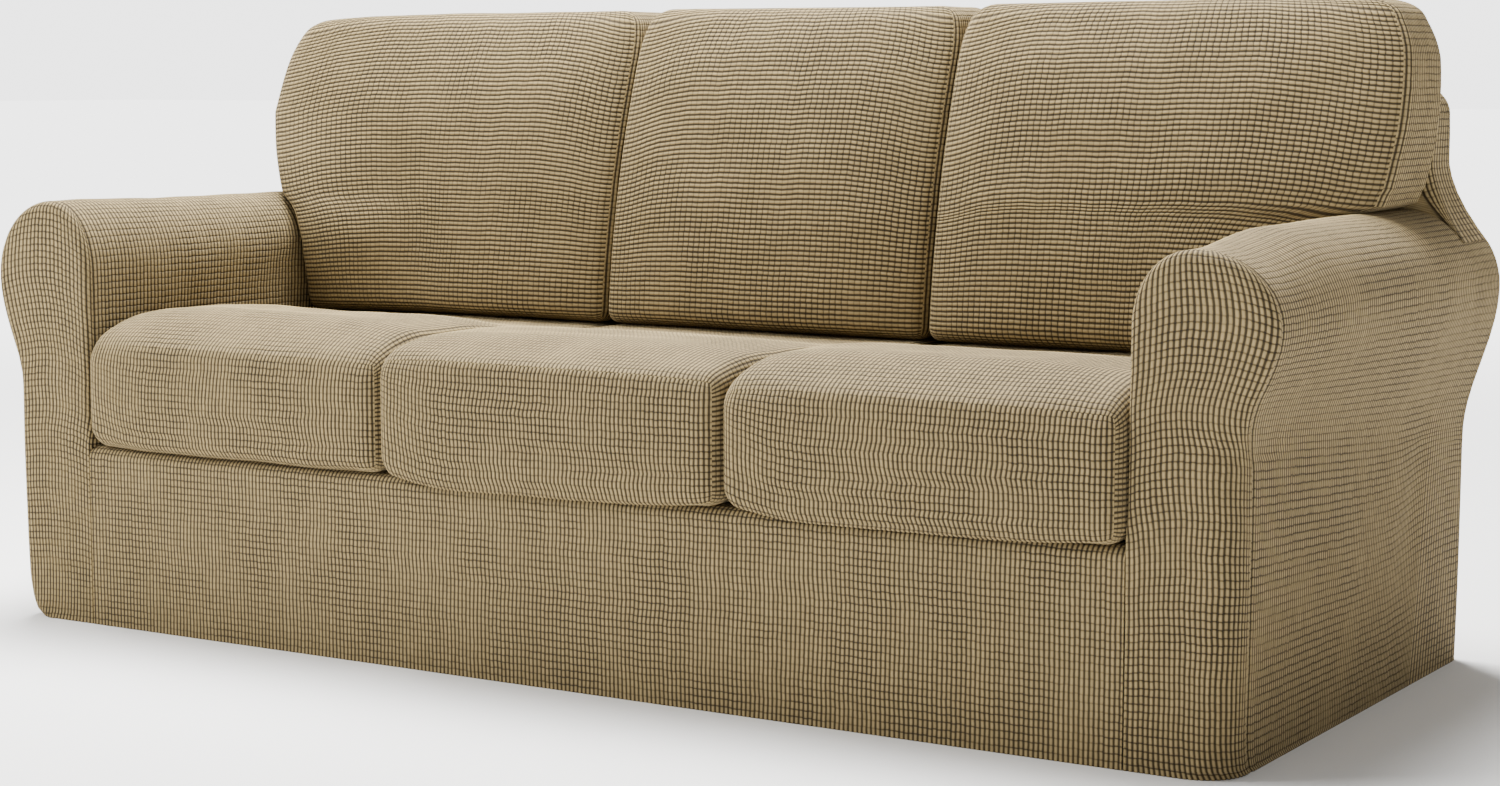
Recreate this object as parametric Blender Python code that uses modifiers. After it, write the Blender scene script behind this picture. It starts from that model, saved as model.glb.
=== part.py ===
"""A fitted stretch slipcover set for a three-seat sofa with rolled arms, as it hangs when it is on.

Every piece is a thin, hollow panel of cloth: the body cover with its apron, arm fronts, arm sleeves,
seat deck, inside back, back band and back panel, and one cover for each seat and back cushion.
X runs to the right as seen from the front, Y to the back, Z up. The origin is on the floor under
the middle of the set. Depths are counted from the plane of the arm fronts towards the back.
"""

import math
from collections import namedtuple

import bmesh
import bpy
from mathutils import Vector

# Driving dimensions, in metres
CLOTH = 0.002
GAP = 0.0003
MERGE = 0.00002
DEPTH = 0.885
SEAT_OVERHANG = 0.032
SIDE_X = 1.031
ROLL_X = 1.083
INNER_X = 0.888
DECK_Z = 0.284
BACK_TOP_Z = 0.852

# Arms: the inner shoulder starts its turn at SHOULDER_Z, and the crown is at CROWN_X.
# The side swells out between hem and neck. Its front corner is sharper on the left, and opens
# to a rounder one at the hem.
SHOULDER_Z = 0.560
CROWN_X = 0.968
SECTION_START = 0.055
CROWN_RUN = 0.20

Arm = namedtuple(
    "Arm", "side name crown_front crown_rear roll_z neck_front neck_rear swell corner hem"
)
ARMS = (
    Arm(-1, "left", 0.668, 0.664, 0.546, 0.372, 0.340, 0.009, 0.016, 0.055),
    Arm(1, "right", 0.656, 0.674, 0.562, 0.402, 0.335, 0.003, 0.040, 0.064),
)

# Steps along the arm's outline, and the points of it where its stretches meet
SIDE_STOPS = (0.0, 0.11, 0.36, 0.68, 1.0)
SIDE_STEPS, NECK_STEPS, OUTER_STEPS, SHOULDER_STEPS, INNER_STEPS = len(SIDE_STOPS) - 1, 5, 5, 4, 3
ROLL_INDEX = SIDE_STEPS + NECK_STEPS
FOOT_INDEX = ROLL_INDEX + 2
CROWN_INDEX = ROLL_INDEX + OUTER_STEPS
SLEEVE_STOPS = (0.0, 0.12, 0.35, 0.68, 1.0)

# Edges that are turned with a radius, and where the seam behind each lies. A radius changes
# over the hem's rise, round the neck and above the deck.
TURN_STEPS = 3
HEM_RISE = 0.070
NECK_BELOW, NECK_RUN = 0.02, 0.10
DECK_RUN = 0.05
CORNER_STRIP = 0.015
ROLL_RADIUS, ROLL_SEAM = 0.014, 0.018
INNER_RADIUS, INNER_SEAM = 0.012, 0.016
APRON_SIDE_SHARE = 0.3
APRON_RADIUS = 0.020
REAR_RADIUS = 0.018
SEAM_STRIP = 0.004

# Back: the inside face leans, and each end wall stands on the arm with a flared foot
BACK_FOOT_DEPTH = 0.710
BACK_LEAN = 0.160
BACK_END_X = 1.003
BACK_CORNER = 0.048
FLARE_TOP_Z = 0.740

# Flare of the end wall's foot: share of its height, and share of the edge's radius there
Flare = namedtuple("Flare", "height_share radius_share")
FLARE = (Flare(0.0, 0.25), Flare(0.18, 0.4), Flare(0.42, 0.7), Flare(0.68, 1.0), Flare(1.0, 1.0))
FLARE_POWER = 1.6
FLARE_SEAM = 3

# Cushion covers, side by side between the arms
COVER_PITCH = 0.5919
TURN_UNDER = 0.045
SEAT_REAR = 0.702
SEAT_CROWN_DEPTH, SEAT_CROWN_LEAD = 0.130, 0.005
SEAT_SIDE_DROP = 0.35
SEAT_RADIUS, SEAT_TOP_RADIUS, SEAT_SIDE_START = 0.018, 0.011, 0.5
SEAT_LEFT_RADIUS, SEAT_RIGHT_RADIUS = 0.034, 0.027
SEAT_SWELL = 0.010
SEAT_CUTS = ((-0.82, -0.4, 0.0, 0.4, 0.82), (-0.66, -0.36, 0.1, 0.5), (-0.42, 0.0))

# The crown sinks towards the back cushions, and the lower front edge hangs in front of the apron
SINK_Z, SINK_START, SINK_RUN = 0.4628, 0.20, 0.30
HANG_DEPTH, HANG_RUN = -0.004, 0.010
HANG_MIDDLE, HANG_LEAN = 0.7, 0.3

# A back cover's front is a parabola that leans back. Its outer side bellies out from BELLY_Z, and
# its outer end may stand forward, less so at the foot and the top.
COVER_REST_Z = 0.4642
COVER_HALF_DEPTH = 0.1
COVER_RADIUS = 0.022
COVER_FOOT_DEPTH, COVER_LEAN, COVER_CURVE = 0.568, 0.034, 0.088
COVER_BULGE, BULGE_POWER_UP, BULGE_POWER_DOWN = 0.034, 4, 24
BELLY_Z, BELLY_RISE = 0.700, 0.24
FORWARD_START, FORWARD_FOOT, FORWARD_FULL = 0.2, 0.6, 0.3
FORWARD_FADE, FORWARD_TOP = 0.75, 0.53
COVER_CUTS, COVER_HEIGHTS = ((-0.45, 0.0, 0.45), (0.0,)), (0.535, 0.62, 0.78, 0.86)
TOP_CORNER_Z, TOP_CORNER_X = 0.085, 0.030
TOP_CORNER_REAR = 0.022

# Seat covers: depth of the front face's edge, how far its lower edge hangs, height of its upper
# edge, and how far the crown stands above that
SeatCover = namedtuple("SeatCover", "number front hang edge_z crown")
SEAT_COVERS = (
    SeatCover(1, -0.012, 0.005, 0.446, 0.054),
    SeatCover(2, SEAT_SWELL - SEAT_OVERHANG, 0.016, 0.460, 0.032),
    SeatCover(3, -0.022, 0.012, 0.450, 0.047),
)

# Back covers: height of the top, how far it drops at its left end, the outer side's belly over
# the arm, how far the outer top corner is cut round, and how far the outer end stands forward
BackCover = namedtuple("BackCover", "number top_z left_drop belly corner forward")
BACK_COVERS = (
    BackCover(1, 0.970, 0.012, 0.015, 0.036, 0.085),
    BackCover(2, 0.972, 0.000, 0.000, 0.030, 0.000),
    BackCover(3, 0.975, 0.002, 0.014, 0.050, 0.000),
)

# Outer sides of the outer back covers over the arms: height above the crown, and X
Ear = namedtuple("Ear", "above_crown x")
EARS = {
    "left": (
        Ear(0.003, 0.946), Ear(0.011, 0.951), Ear(0.036, 0.966), Ear(0.071, 0.980), Ear(0.136, 1.003)
    ),
    "right": (Ear(0.003, 0.975), Ear(0.010, 0.995), Ear(0.034, 1.003)),
}

COLLECTION = "sofa_slipcover"
FABRIC_COLOUR = (0.342, 0.262, 0.158, 1.0)
SHADE_COLOUR = (0.262, 0.198, 0.118, 1.0)


def smooth(t):
    """Eases from 0 at t = 0 to 1 at t = 1."""
    t = min(max(t, 0.0), 1.0)
    return t * t * (3 - 2 * t)


def mix(a, b, t):
    return a + (b - a) * t


def spread(low, high, steps):
    """Values from low to high, both ends included."""
    return [mix(low, high, i / steps) for i in range(steps + 1)]


def point(x, depth, z):
    """A point from its X, its depth behind the arm fronts and its height."""
    return Vector((x, depth - (DEPTH - SEAT_OVERHANG) / 2, z))


# ---------------------------------------------------------------- scene and cloth


def clear_scene():
    for item in list(bpy.data.objects):
        bpy.data.objects.remove(item, do_unlink=True)
    for group in list(bpy.data.collections):
        bpy.data.collections.remove(group)


def new_collection(name):
    collection = bpy.data.collections.new(name)
    bpy.context.scene.collection.children.link(collection)
    return collection


def fabric(name, colour):
    """Stretch jacquard: matt, with a little sheen."""
    material = bpy.data.materials.new(name)
    material.use_nodes = True
    surface = material.node_tree.nodes["Principled BSDF"]
    surface.inputs["Base Color"].default_value = colour
    surface.inputs["Roughness"].default_value = 0.92
    surface.inputs["Metallic"].default_value = 0.0
    surface.inputs["Sheen Weight"].default_value = 0.15
    return material


def finish_object(name, mesh, collection, colour):
    """Turns the bmesh into a named object with its own fabric."""
    data = bpy.data.meshes.new(name)
    mesh.to_mesh(data)
    mesh.free()
    data.shade_smooth()
    item = bpy.data.objects.new(name, data)
    data.materials.append(fabric(name + "_fabric", colour))
    collection.objects.link(item)
    return item


def grid_surface(rows, flip=False, keep=None):
    """An open surface through rows of equally many points, of the squares that keep allows."""
    columns = len(rows[0]) - 1
    lines = len(rows) - 1
    mesh = bmesh.new()
    bmesh.ops.create_grid(mesh, x_segments=columns, y_segments=lines, size=1.0)
    dropped = []
    for face in mesh.faces:
        centre = face.calc_center_median()
        square = int((centre.x + 1) / 2 * columns), int((centre.y + 1) / 2 * lines)
        if keep and not keep(*square):
            dropped.append(face)
    for vertex in mesh.verts:
        column = round((vertex.co.x + 1) / 2 * columns)
        line = round((vertex.co.y + 1) / 2 * lines)
        vertex.co = rows[line][column]
    bmesh.ops.delete(mesh, geom=dropped, context="FACES")
    if flip:
        bmesh.ops.reverse_faces(mesh, faces=mesh.faces)
    bmesh.ops.remove_doubles(mesh, verts=mesh.verts, dist=MERGE)
    return mesh


def add_cloth(item):
    """Gives an open surface the cloth's thickness, on its inner side."""
    cloth = item.modifiers.new("cloth", "SOLIDIFY")
    cloth.thickness = CLOTH
    cloth.offset = -1.0
    cloth.use_even_offset = True


def panel(name, rows, collection, colour=FABRIC_COLOUR, flip=False, keep=None):
    """A named panel of cloth through rows of points."""
    item = finish_object(name, grid_surface(rows, flip, keep), collection, colour)
    add_cloth(item)


# ---------------------------------------------------------------- arms


def crown_height(arm, depth):
    return mix(arm.crown_front, arm.crown_rear, smooth((depth - SECTION_START) / CROWN_RUN))


def arm_section(arm, depth):
    """The arm's outline as (x, z): outer hem, neck, roll, crown, inner face, deck."""
    crown = crown_height(arm, depth)
    along = max(depth - SECTION_START, 0.0) / (DEPTH - SECTION_START)
    neck_z = mix(arm.neck_front, arm.neck_rear, along)
    neck_x = SIDE_X + arm.swell
    outline = []
    for t in SIDE_STOPS:
        outline.append((SIDE_X + arm.swell * (1 - (1 - t) ** 3), neck_z * t))
    for t in spread(0.0, 1.0, NECK_STEPS)[1:]:
        turn = (1 - math.cos(math.pi * t)) / 2
        outline.append((mix(neck_x, ROLL_X, turn), mix(neck_z, arm.roll_z, t)))
    for t in spread(0.0, math.pi / 2, OUTER_STEPS)[1:]:
        x = CROWN_X + (ROLL_X - CROWN_X) * math.cos(t)
        outline.append((x, arm.roll_z + (crown - arm.roll_z) * math.sin(t)))
    for t in spread(0.0, math.pi / 2, SHOULDER_STEPS)[1:]:
        x = CROWN_X - (CROWN_X - INNER_X) * math.sin(t)
        outline.append((x, SHOULDER_Z + (crown - SHOULDER_Z) * math.cos(t)))
    outline += [(INNER_X, z) for z in spread(SHOULDER_Z, DECK_Z, INNER_STEPS)[1:]]
    return outline


def outline_normals(outline):
    """Unit normals of an outline that runs up on the right and down on the left, pointing out."""
    normals = []
    for index in range(len(outline)):
        before = Vector(outline[max(index - 1, 0)])
        after = Vector(outline[min(index + 1, len(outline) - 1)])
        along = (after - before).normalized()
        normals.append((along.y, -along.x))
    return normals


def front_edge(arm, index, z):
    """Radius of the arm front's turned edge at an outline point, and the depth of its seam."""
    if index <= CROWN_INDEX:
        above = (z - arm.neck_front + NECK_BELOW) / NECK_RUN
        rise = smooth(above) if index <= ROLL_INDEX else 1.0
        opened = 1 - math.sqrt(1 - max(1 - z / HEM_RISE, 0.0) ** 2)
        corner = mix(arm.corner, arm.hem, opened)
        return mix(corner, ROLL_RADIUS, rise), mix(corner + CORNER_STRIP, ROLL_SEAM, rise)
    share = mix(APRON_SIDE_SHARE, 1.0, smooth((z - DECK_Z) / DECK_RUN))
    return INNER_RADIUS * share, INNER_SEAM * share


def turned_panel(name, outline, edges, face_depth, turn, collection):
    """A flat panel whose edge is turned to its seam: rings in from the outline, then the face."""
    normals = outline_normals(outline)
    rings = [[] for _ in range(TURN_STEPS + 2)]
    for (x, z), (nx, nz), (radius, seam) in zip(outline, normals, edges):
        if z == 0.0:
            nx, nz = math.copysign(1.0, nx), 0.0
        stops = [(0.0, seam)]
        for angle in spread(0.0, math.pi / 2, TURN_STEPS):
            stops.append((radius * (1 - math.cos(angle)), radius * (1 - math.sin(angle))))
        for ring, (inwards, drop) in zip(rings, stops):
            ring.append(point(x - nx * inwards, face_depth + turn * drop, z - nz * inwards))
    mesh = grid_surface(rings)
    plane = point(0, face_depth, 0).y
    rim = [
        edge
        for edge in mesh.edges
        if edge.is_boundary and all(abs(v.co.y - plane) < MERGE for v in edge.verts)
    ]
    hem = [v for v in mesh.verts if v.co.z < MERGE and abs(v.co.y - plane) < MERGE]
    rim.append(mesh.edges.new(hem))
    bmesh.ops.contextual_create(mesh, geom=rim)
    bmesh.ops.recalc_face_normals(mesh, faces=mesh.faces)
    flat = max(mesh.faces, key=lambda face: face.calc_area())
    if flat.normal.y * turn > 0:
        bmesh.ops.reverse_faces(mesh, faces=mesh.faces)
    add_cloth(finish_object(name, mesh, collection, FABRIC_COLOUR))


def build_arm_front(arm, collection):
    """The keyhole panel, from the hem up round the roll and down beside the seat and the apron."""
    outline = arm_section(arm, 0.0)
    outline += [(INNER_X, z) for z in spread(DECK_Z, 0.0, SIDE_STEPS)[1:]]
    edges = [front_edge(arm, index, z) for index, (_, z) in enumerate(outline)]
    outline = [(arm.side * x, z) for x, z in outline]
    if arm.side < 0:
        outline.reverse()
        edges.reverse()
    turned_panel("arm_front_" + arm.name, outline, edges, 0.0, 1, collection)


def inside_depth(z):
    """Depth of the inside back's leaning face."""
    return BACK_FOOT_DEPTH + BACK_LEAN * (z - DECK_Z)


def build_arm_sleeve(arm, collection):
    """Outer side, roll and inner face. Behind the inside back only the outer part goes on."""
    front, back = arm_section(arm, 0.0), arm_section(arm, DEPTH)
    rear = DEPTH - REAR_RADIUS - SEAM_STRIP - GAP
    rows = []
    for stop in SLEEVE_STOPS + (None,):
        row = []
        for index, ((_, front_z), (_, back_z)) in enumerate(zip(front, back)):
            start = front_edge(arm, index, front_z)[1] + GAP
            end = inside_depth(back_z) - GAP
            depth = rear if stop is None else mix(start, end, stop)
            x, z = arm_section(arm, depth)[index]
            drop = CLOTH if index == len(front) - 1 else 0.0
            row.append(point(arm.side * x, depth, z - drop))
        rows.append(row)
    last = len(SLEEVE_STOPS) - 1
    panel(
        "arm_sleeve_" + arm.name,
        rows,
        collection,
        flip=arm.side > 0,
        keep=lambda column, line: line < last or column < FOOT_INDEX,
    )


# ---------------------------------------------------------------- front and deck


def build_apron(collection):
    """The flat front panel, turned back over the deck's front edge."""
    half = INNER_X - GAP
    reach = math.sin(math.pi / 4)
    profile = [(0.0, z) for z in spread(0.0, DECK_Z - APRON_RADIUS, 3)]
    profile.append((APRON_RADIUS * (1 - reach), DECK_Z - APRON_RADIUS * (1 - reach)))
    profile += [(APRON_RADIUS, DECK_Z), (APRON_RADIUS + SEAM_STRIP, DECK_Z)]
    rows = [[point(x, depth, z) for x in spread(-half, half, 8)] for depth, z in profile]
    panel("apron", rows, collection)


def build_seat_deck(collection):
    half = INNER_X - GAP
    start = APRON_RADIUS + SEAM_STRIP + GAP
    end = BACK_FOOT_DEPTH + CLOTH
    rows = [
        [point(x, depth, DECK_Z) for x in spread(-half, half, 8)]
        for depth in spread(start, end, 3)
    ]
    panel("seat_deck", rows, collection, SHADE_COLOUR)


# ---------------------------------------------------------------- back


def back_outline(arm):
    """One side of the back from the flared foot on the arm up to the top, as (x, z)."""
    foot, inwards = foot_on_arm(arm)
    foot_x, foot_z = foot + inwards * 2 * GAP
    outline = []
    for flare in FLARE:
        x = mix(BACK_END_X, foot_x, (1 - flare.height_share) ** FLARE_POWER)
        outline.append((x, mix(foot_z, FLARE_TOP_Z, flare.height_share)))
    centre_x, centre_z = BACK_END_X - BACK_CORNER, BACK_TOP_Z - BACK_CORNER
    for t in spread(0.0, math.pi / 2, 3):
        outline.append((centre_x + BACK_CORNER * math.cos(t), centre_z + BACK_CORNER * math.sin(t)))
    return outline


def foot_on_arm(arm):
    """Where the back's end wall meets the arm at the rear, and the way from there to the crown."""
    section = arm_section(arm, DEPTH)
    foot = Vector(section[FOOT_INDEX])
    return foot, (Vector(section[FOOT_INDEX + 1]) - foot).normalized()


def back_rim():
    """The whole way over the back as (x, z), up on the right and down on the left."""
    left, right = ARMS
    end = BACK_END_X - BACK_CORNER
    top = [(x, BACK_TOP_Z) for x in spread(end, -end, 6)[1:-1]]
    return back_outline(right) + top + [(-x, z) for x, z in back_outline(left)[::-1]]


def inset_rim(inset):
    """The rim over the back, moved inwards."""
    rim = back_rim()
    return [(x - nx * inset, z - nz * inset) for (x, z), (nx, nz) in zip(rim, outline_normals(rim))]


def foot_strip(arm, inner, outer, rise):
    """Two places across the band's front strip, bowed as far as the arm under its foot needs."""
    section = arm_section(arm, DEPTH)
    normals = outline_normals(section)
    crown = Vector(section[CROWN_INDEX])
    foot, inwards = foot_on_arm(arm)
    foot += inwards * REAR_RADIUS * FLARE[0].radius_share
    places = []
    for t, index in ((1 / 3, CROWN_INDEX - 1), (2 / 3, CROWN_INDEX - 2)):
        lying = Vector(section[index]) + Vector(normals[index]) * GAP
        bow = (lying - crown.lerp(foot, t)) * (1 - rise)
        places.append(inner.lerp(outer, t) + Vector((arm.side * bow.x, bow.y)))
    return places


def build_back_band(collection):
    """The strip over the ends and the top, turned over the front edge onto the inside back."""
    rim = back_rim()
    normals = outline_normals(rim)
    seam = inset_rim(REAR_RADIUS + SEAM_STRIP)
    last = len(rim) - 1
    rear = DEPTH - REAR_RADIUS - SEAM_STRIP - GAP
    rows = [[] for _ in range(7)]
    for index, (place, normal) in enumerate(zip(rim, normals)):
        edge, out, inner = Vector(place), Vector(normal), Vector(seam[index])
        arm = ARMS[int(edge.x > 0)]
        step = min(index, last - index)
        height_share, radius_share = FLARE[step] if step < len(FLARE) else (1.0, 1.0)
        rise = min(height_share / FLARE[FLARE_SEAM].height_share, 1.0)
        if step < FLARE_SEAM:
            inner = Vector(seam[FLARE_SEAM if index == step else last - FLARE_SEAM])
            crown = Vector((arm.side * CROWN_X, crown_height(arm, DEPTH) + GAP))
            inner = crown.lerp(inner, rise)
            _, inwards = foot_on_arm(arm)
            out = Vector((-arm.side * inwards.x, -inwards.y)).lerp(out, rise).normalized()
        radius = REAR_RADIUS * radius_share
        front = edge - out * radius
        places = [inner, *foot_strip(arm, inner, front, rise), front]
        places += [edge - out * 0.3 * radius, edge]
        drops = (0.0, 0.0, 0.0, 0.0, 0.3 * radius, radius)
        for row, (x, z), drop in zip(rows, places, drops):
            row.append(point(x, inside_depth(z) + drop, z))
        rows[-1].append(point(edge.x, rear, edge.y))
    panel("back_band", rows, collection, flip=True)


def build_back_panel(collection):
    """The rear, from the hem up past the rolls and the flares to the top."""
    left, right = ARMS
    outline = arm_section(right, DEPTH)[:FOOT_INDEX]
    outline += back_rim()
    outline += [(-x, z) for x, z in arm_section(left, DEPTH)[:FOOT_INDEX][::-1]]
    edges = [(REAR_RADIUS, REAR_RADIUS + SEAM_STRIP)] * len(outline)
    turned_panel("back_panel", outline, edges, DEPTH, -1, collection)


def inside_back_edge(arm):
    """One side of the inside back as (x, z): up the arm's inner face to its crown, up the wall."""
    section = arm_section(arm, DEPTH)
    normals = outline_normals(section)
    edge = []
    for index in range(len(section) - 1, CROWN_INDEX - 1, -1):
        (x, z), (nx, nz) = section[index], normals[index]
        edge.append((x + nx * GAP, z + nz * GAP))
    wall = inset_rim(REAR_RADIUS + SEAM_STRIP + GAP)
    if arm.side < 0:
        wall.reverse()
    return edge + [(abs(x), z) for x, z in wall[FLARE_SEAM : len(back_outline(arm))]]


def build_inside_back(collection):
    left, right = (inside_back_edge(arm) for arm in ARMS)
    rows = []
    for (left_x, left_z), (right_x, right_z) in zip(left, right):
        row = []
        for t in spread(0.0, 1.0, 6):
            z = max(mix(left_z, right_z, t), DECK_Z + 2 * GAP)
            row.append(point(mix(-left_x, right_x, t), inside_depth(z), z))
        rows.append(row)
    panel("inside_back", rows, collection, SHADE_COLOUR)


# ---------------------------------------------------------------- cushion covers


FRONT, REAR, LEFT, RIGHT, TOP, BOTTOM = range(6)
SIDE_OF_NORMAL = ((LEFT, RIGHT), (FRONT, REAR), (BOTTOM, TOP))


def cushion_surface(half, radius, places):
    """A cube cut along three axes, with its sides numbered and its base open but for a rim."""
    mesh = bmesh.new()
    bmesh.ops.create_cube(mesh, size=2.0)
    for axis, (size, inner) in enumerate(zip(half, places)):
        direction = Vector([float(axis == k) for k in range(3)])
        edge, turned = 1 - radius / size, 1 - TURN_UNDER / size
        ends = (edge, turned) if axis < 2 and turned > 0 else (edge,)
        for place in sorted({*inner, *ends, *(-end for end in ends)}):
            geometry = mesh.verts[:] + mesh.edges[:] + mesh.faces[:]
            bmesh.ops.bisect_plane(
                mesh, geom=geometry, plane_co=direction * place, plane_no=direction
            )
    mesh.normal_update()
    opened = []
    for face in mesh.faces:
        axis = max(range(3), key=lambda k: abs(face.normal[k]))
        face.material_index = SIDE_OF_NORMAL[axis][int(face.normal[axis] > 0)]
        centre = face.calc_center_median()
        inside = all(abs(centre[k]) < 1 - TURN_UNDER / half[k] for k in range(2))
        if face.material_index == BOTTOM and inside:
            opened.append(face)
    bmesh.ops.delete(mesh, geom=opened, context="FACES")
    return mesh


def rounded(place, half, radius):
    """Moves a point of the cube onto a box of the half sizes with rounded edges, still in cube units."""
    full = Vector([p * h for p, h in zip(place, half)])
    core = Vector([max(-(h - radius), min(h - radius, f)) for f, h in zip(full, half)])
    turned = core + (full - core).normalized() * radius
    return Vector([t / h for t, h in zip(turned, half)])


def sew_cover(surface, panels, collection):
    """Parts a closed form at its seams into panels of even thickness, GAP apart at the seams."""
    surface.normal_update()
    for name, sides in panels:
        faces = [face for face in surface.faces if face.material_index in sides]
        own = set(faces)
        mesh = bmesh.new()
        outer, inner = {}, {}
        for vertex in {v for face in faces for v in face.verts}:
            linked = [face for face in vertex.link_faces if face in own]
            shift = Vector()
            if len(linked) < len(vertex.link_faces):
                centre = sum((face.calc_center_median() for face in linked), Vector())
                shift = (centre / len(linked) - vertex.co).normalized() * GAP
            outer[vertex] = mesh.verts.new(vertex.co + shift)
            inner[vertex] = mesh.verts.new(vertex.co + shift - vertex.normal * CLOTH)
        for face in faces:
            mesh.faces.new([outer[v] for v in face.verts])
            mesh.faces.new([inner[v] for v in reversed(face.verts)])
            for loop in face.loops:
                beyond = [f for f in loop.edge.link_faces if f in own]
                if len(beyond) == 1:
                    a, b = loop.vert, loop.link_loop_next.vert
                    mesh.faces.new([outer[b], outer[a], inner[a], inner[b]])
        finish_object(name, mesh, collection, FABRIC_COLOUR)
    surface.free()


def seat_radius(cube):
    """Radius of a seat cover's edges at a point of the cube: the front's differ from the others."""
    corner = SEAT_RIGHT_RADIUS if cube.x > 0 else SEAT_LEFT_RADIUS
    near = smooth((abs(cube.x) - SEAT_SIDE_START) / (1 - SEAT_SIDE_START))
    front = mix(mix(SEAT_RADIUS, SEAT_TOP_RADIUS, smooth(cube.z)), corner, near)
    return mix(SEAT_RADIUS, front, smooth(-cube.y))


def build_seat_cover(cover, collection):
    """Front panel, and one piece over the top, sides and rear; the crown is behind the front edge."""
    half = (
        (COVER_PITCH - GAP) / 2,
        (SEAT_REAR - cover.front) / 2,
        (cover.edge_z - DECK_Z - GAP) / 2,
    )
    middle = ((cover.number - 2) * COVER_PITCH, cover.front + half[1], DECK_Z + GAP + half[2])
    surface = cushion_surface(half, SEAT_RADIUS, SEAT_CUTS)
    for vertex in surface.verts:
        place = rounded(vertex.co, half, seat_radius(vertex.co))
        x, depth, z = (m + p * h for m, p, h in zip(middle, place, half))
        behind = depth - cover.front + SEAT_CROWN_LEAD
        rise = 1 - (1 - min(behind / SEAT_CROWN_DEPTH, 1.0)) ** 2
        sunk = smooth((depth - SINK_START) / SINK_RUN)
        crown = mix(cover.crown, SINK_Z - cover.edge_z, sunk)
        crown *= rise * (1 - SEAT_SIDE_DROP * abs(place.x) ** 6)
        swell = SEAT_SWELL * (1 - place.x**4) * (1 - place.z**2) * max(-place.y, 0.0)
        hang = cover.hang * (1 - place.x**6) * (HANG_MIDDLE - HANG_LEAN * place.x)
        hang *= smooth((HANG_DEPTH - depth) / HANG_RUN) * max(-place.z, 0.0)
        vertex.co = point(x, depth - swell, z + crown * max(place.z, 0.0) - hang)
    wrap = (TOP, LEFT, RIGHT, REAR, BOTTOM)
    names = ((f"seat_front_{cover.number}", (FRONT,)), (f"seat_wrap_{cover.number}", wrap))
    sew_cover(surface, names, collection)


def cover_front(t):
    """Depth of a back cover's front edge from the share of its height: it leans, more so higher up."""
    return COVER_FOOT_DEPTH + COVER_LEAN * t + COVER_CURVE * t * t


def ear_outline(arm, top_z):
    """Side of an outer back cover as (z, x): up the arm's inner face, over its crown, up the end."""
    section = arm_section(arm, DEPTH)
    normals = outline_normals(section)
    outline = []
    for index in range(CROWN_INDEX + SHOULDER_STEPS, CROWN_INDEX, -1):
        (x, z), (nx, nz) = section[index], normals[index]
        outline.append((z + nz * CLOTH, x + nx * CLOTH))
    ears = EARS[arm.name]
    outline += [(section[CROWN_INDEX][1] + ear.above_crown, ear.x) for ear in ears]
    outline.append((top_z, ears[-1].x))
    return outline


def follow(outline, z):
    """X of a side given as (z, x), at the height z."""
    for (low_z, low_x), (high_z, high_x) in zip(outline, outline[1:]):
        if z <= high_z:
            return mix(low_x, high_x, max((z - low_z) / (high_z - low_z), 0.0))
    return outline[-1][1]


def build_back_cover(cover, collection):
    """Front, top and rear in one piece, and a gusset at each side."""
    half_z = (cover.top_z - COVER_REST_Z) / 2
    half = ((COVER_PITCH - GAP) / 2, COVER_HALF_DEPTH, half_z)
    middle_x = (cover.number - 2) * COVER_PITCH
    edge = abs(middle_x) + half[0]
    sides = [[(0.0, half[0])], [(0.0, half[0])]]
    heights = [*COVER_HEIGHTS, cover.top_z - TOP_CORNER_Z / 2]
    for arm, side in zip(ARMS, sides):
        if arm.side * middle_x > 0:
            ear = ear_outline(arm, cover.top_z)
            heights += [z for z, _ in ear[:-1]]
            side[:] = [(z, half[0] + max(x - edge, 0.0)) for z, x in ear]
    rows = tuple((z - COVER_REST_Z) / half_z - 1 for z in heights)
    surface = cushion_surface(half, COVER_RADIUS, (*COVER_CUTS, rows))
    for vertex in surface.verts:
        place = rounded(vertex.co, half, COVER_RADIUS)
        t = (place.z + 1) / 2
        z = mix(COVER_REST_Z, cover.top_z, t)
        corner = min(max((z - cover.top_z) / TOP_CORNER_Z + 1, 0.0), 1.0)
        z -= cover.left_drop * max(-place.x, 0.0) ** 3 * smooth((t - 0.5) / 0.5)
        power = BULGE_POWER_UP if place.z > 0 else BULGE_POWER_DOWN
        bulge = (1 - place.x**4) * (1 - abs(place.z) ** power)
        outer = max(place.x * middle_x, 0.0) / COVER_PITCH
        forward = cover.forward * smooth((outer - FORWARD_START) / (1 - FORWARD_START))
        forward *= mix(FORWARD_FOOT, 1.0, smooth(t / FORWARD_FULL))
        fade = smooth((FORWARD_FADE - t) / (FORWARD_FADE - FORWARD_FULL))
        forward *= mix(FORWARD_TOP, 1.0, fade)
        front = cover_front(t) - COVER_BULGE * bulge - forward
        rear = inside_depth(z) - GAP - TOP_CORNER_REAR * outer**4 * corner
        depth = mix(front, rear, (place.y + 1) / 2)
        up = min(max((z - BELLY_Z) / BELLY_RISE, 0.0), 1.0)
        belly = cover.belly * outer * math.sin(math.pi * up)
        cut = mix(TOP_CORNER_X, cover.corner, outer) * (1 - math.sqrt(1 - corner * corner))
        reach = follow(sides[int(place.x > 0)], z) + belly - cut
        vertex.co = point(middle_x + place.x * reach, depth, z)
    names = (
        (f"back_front_{cover.number}", (FRONT, TOP, REAR, BOTTOM)),
        (f"back_side_{cover.number}_left", (LEFT,)),
        (f"back_side_{cover.number}_right", (RIGHT,)),
    )
    sew_cover(surface, names, collection)


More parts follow.
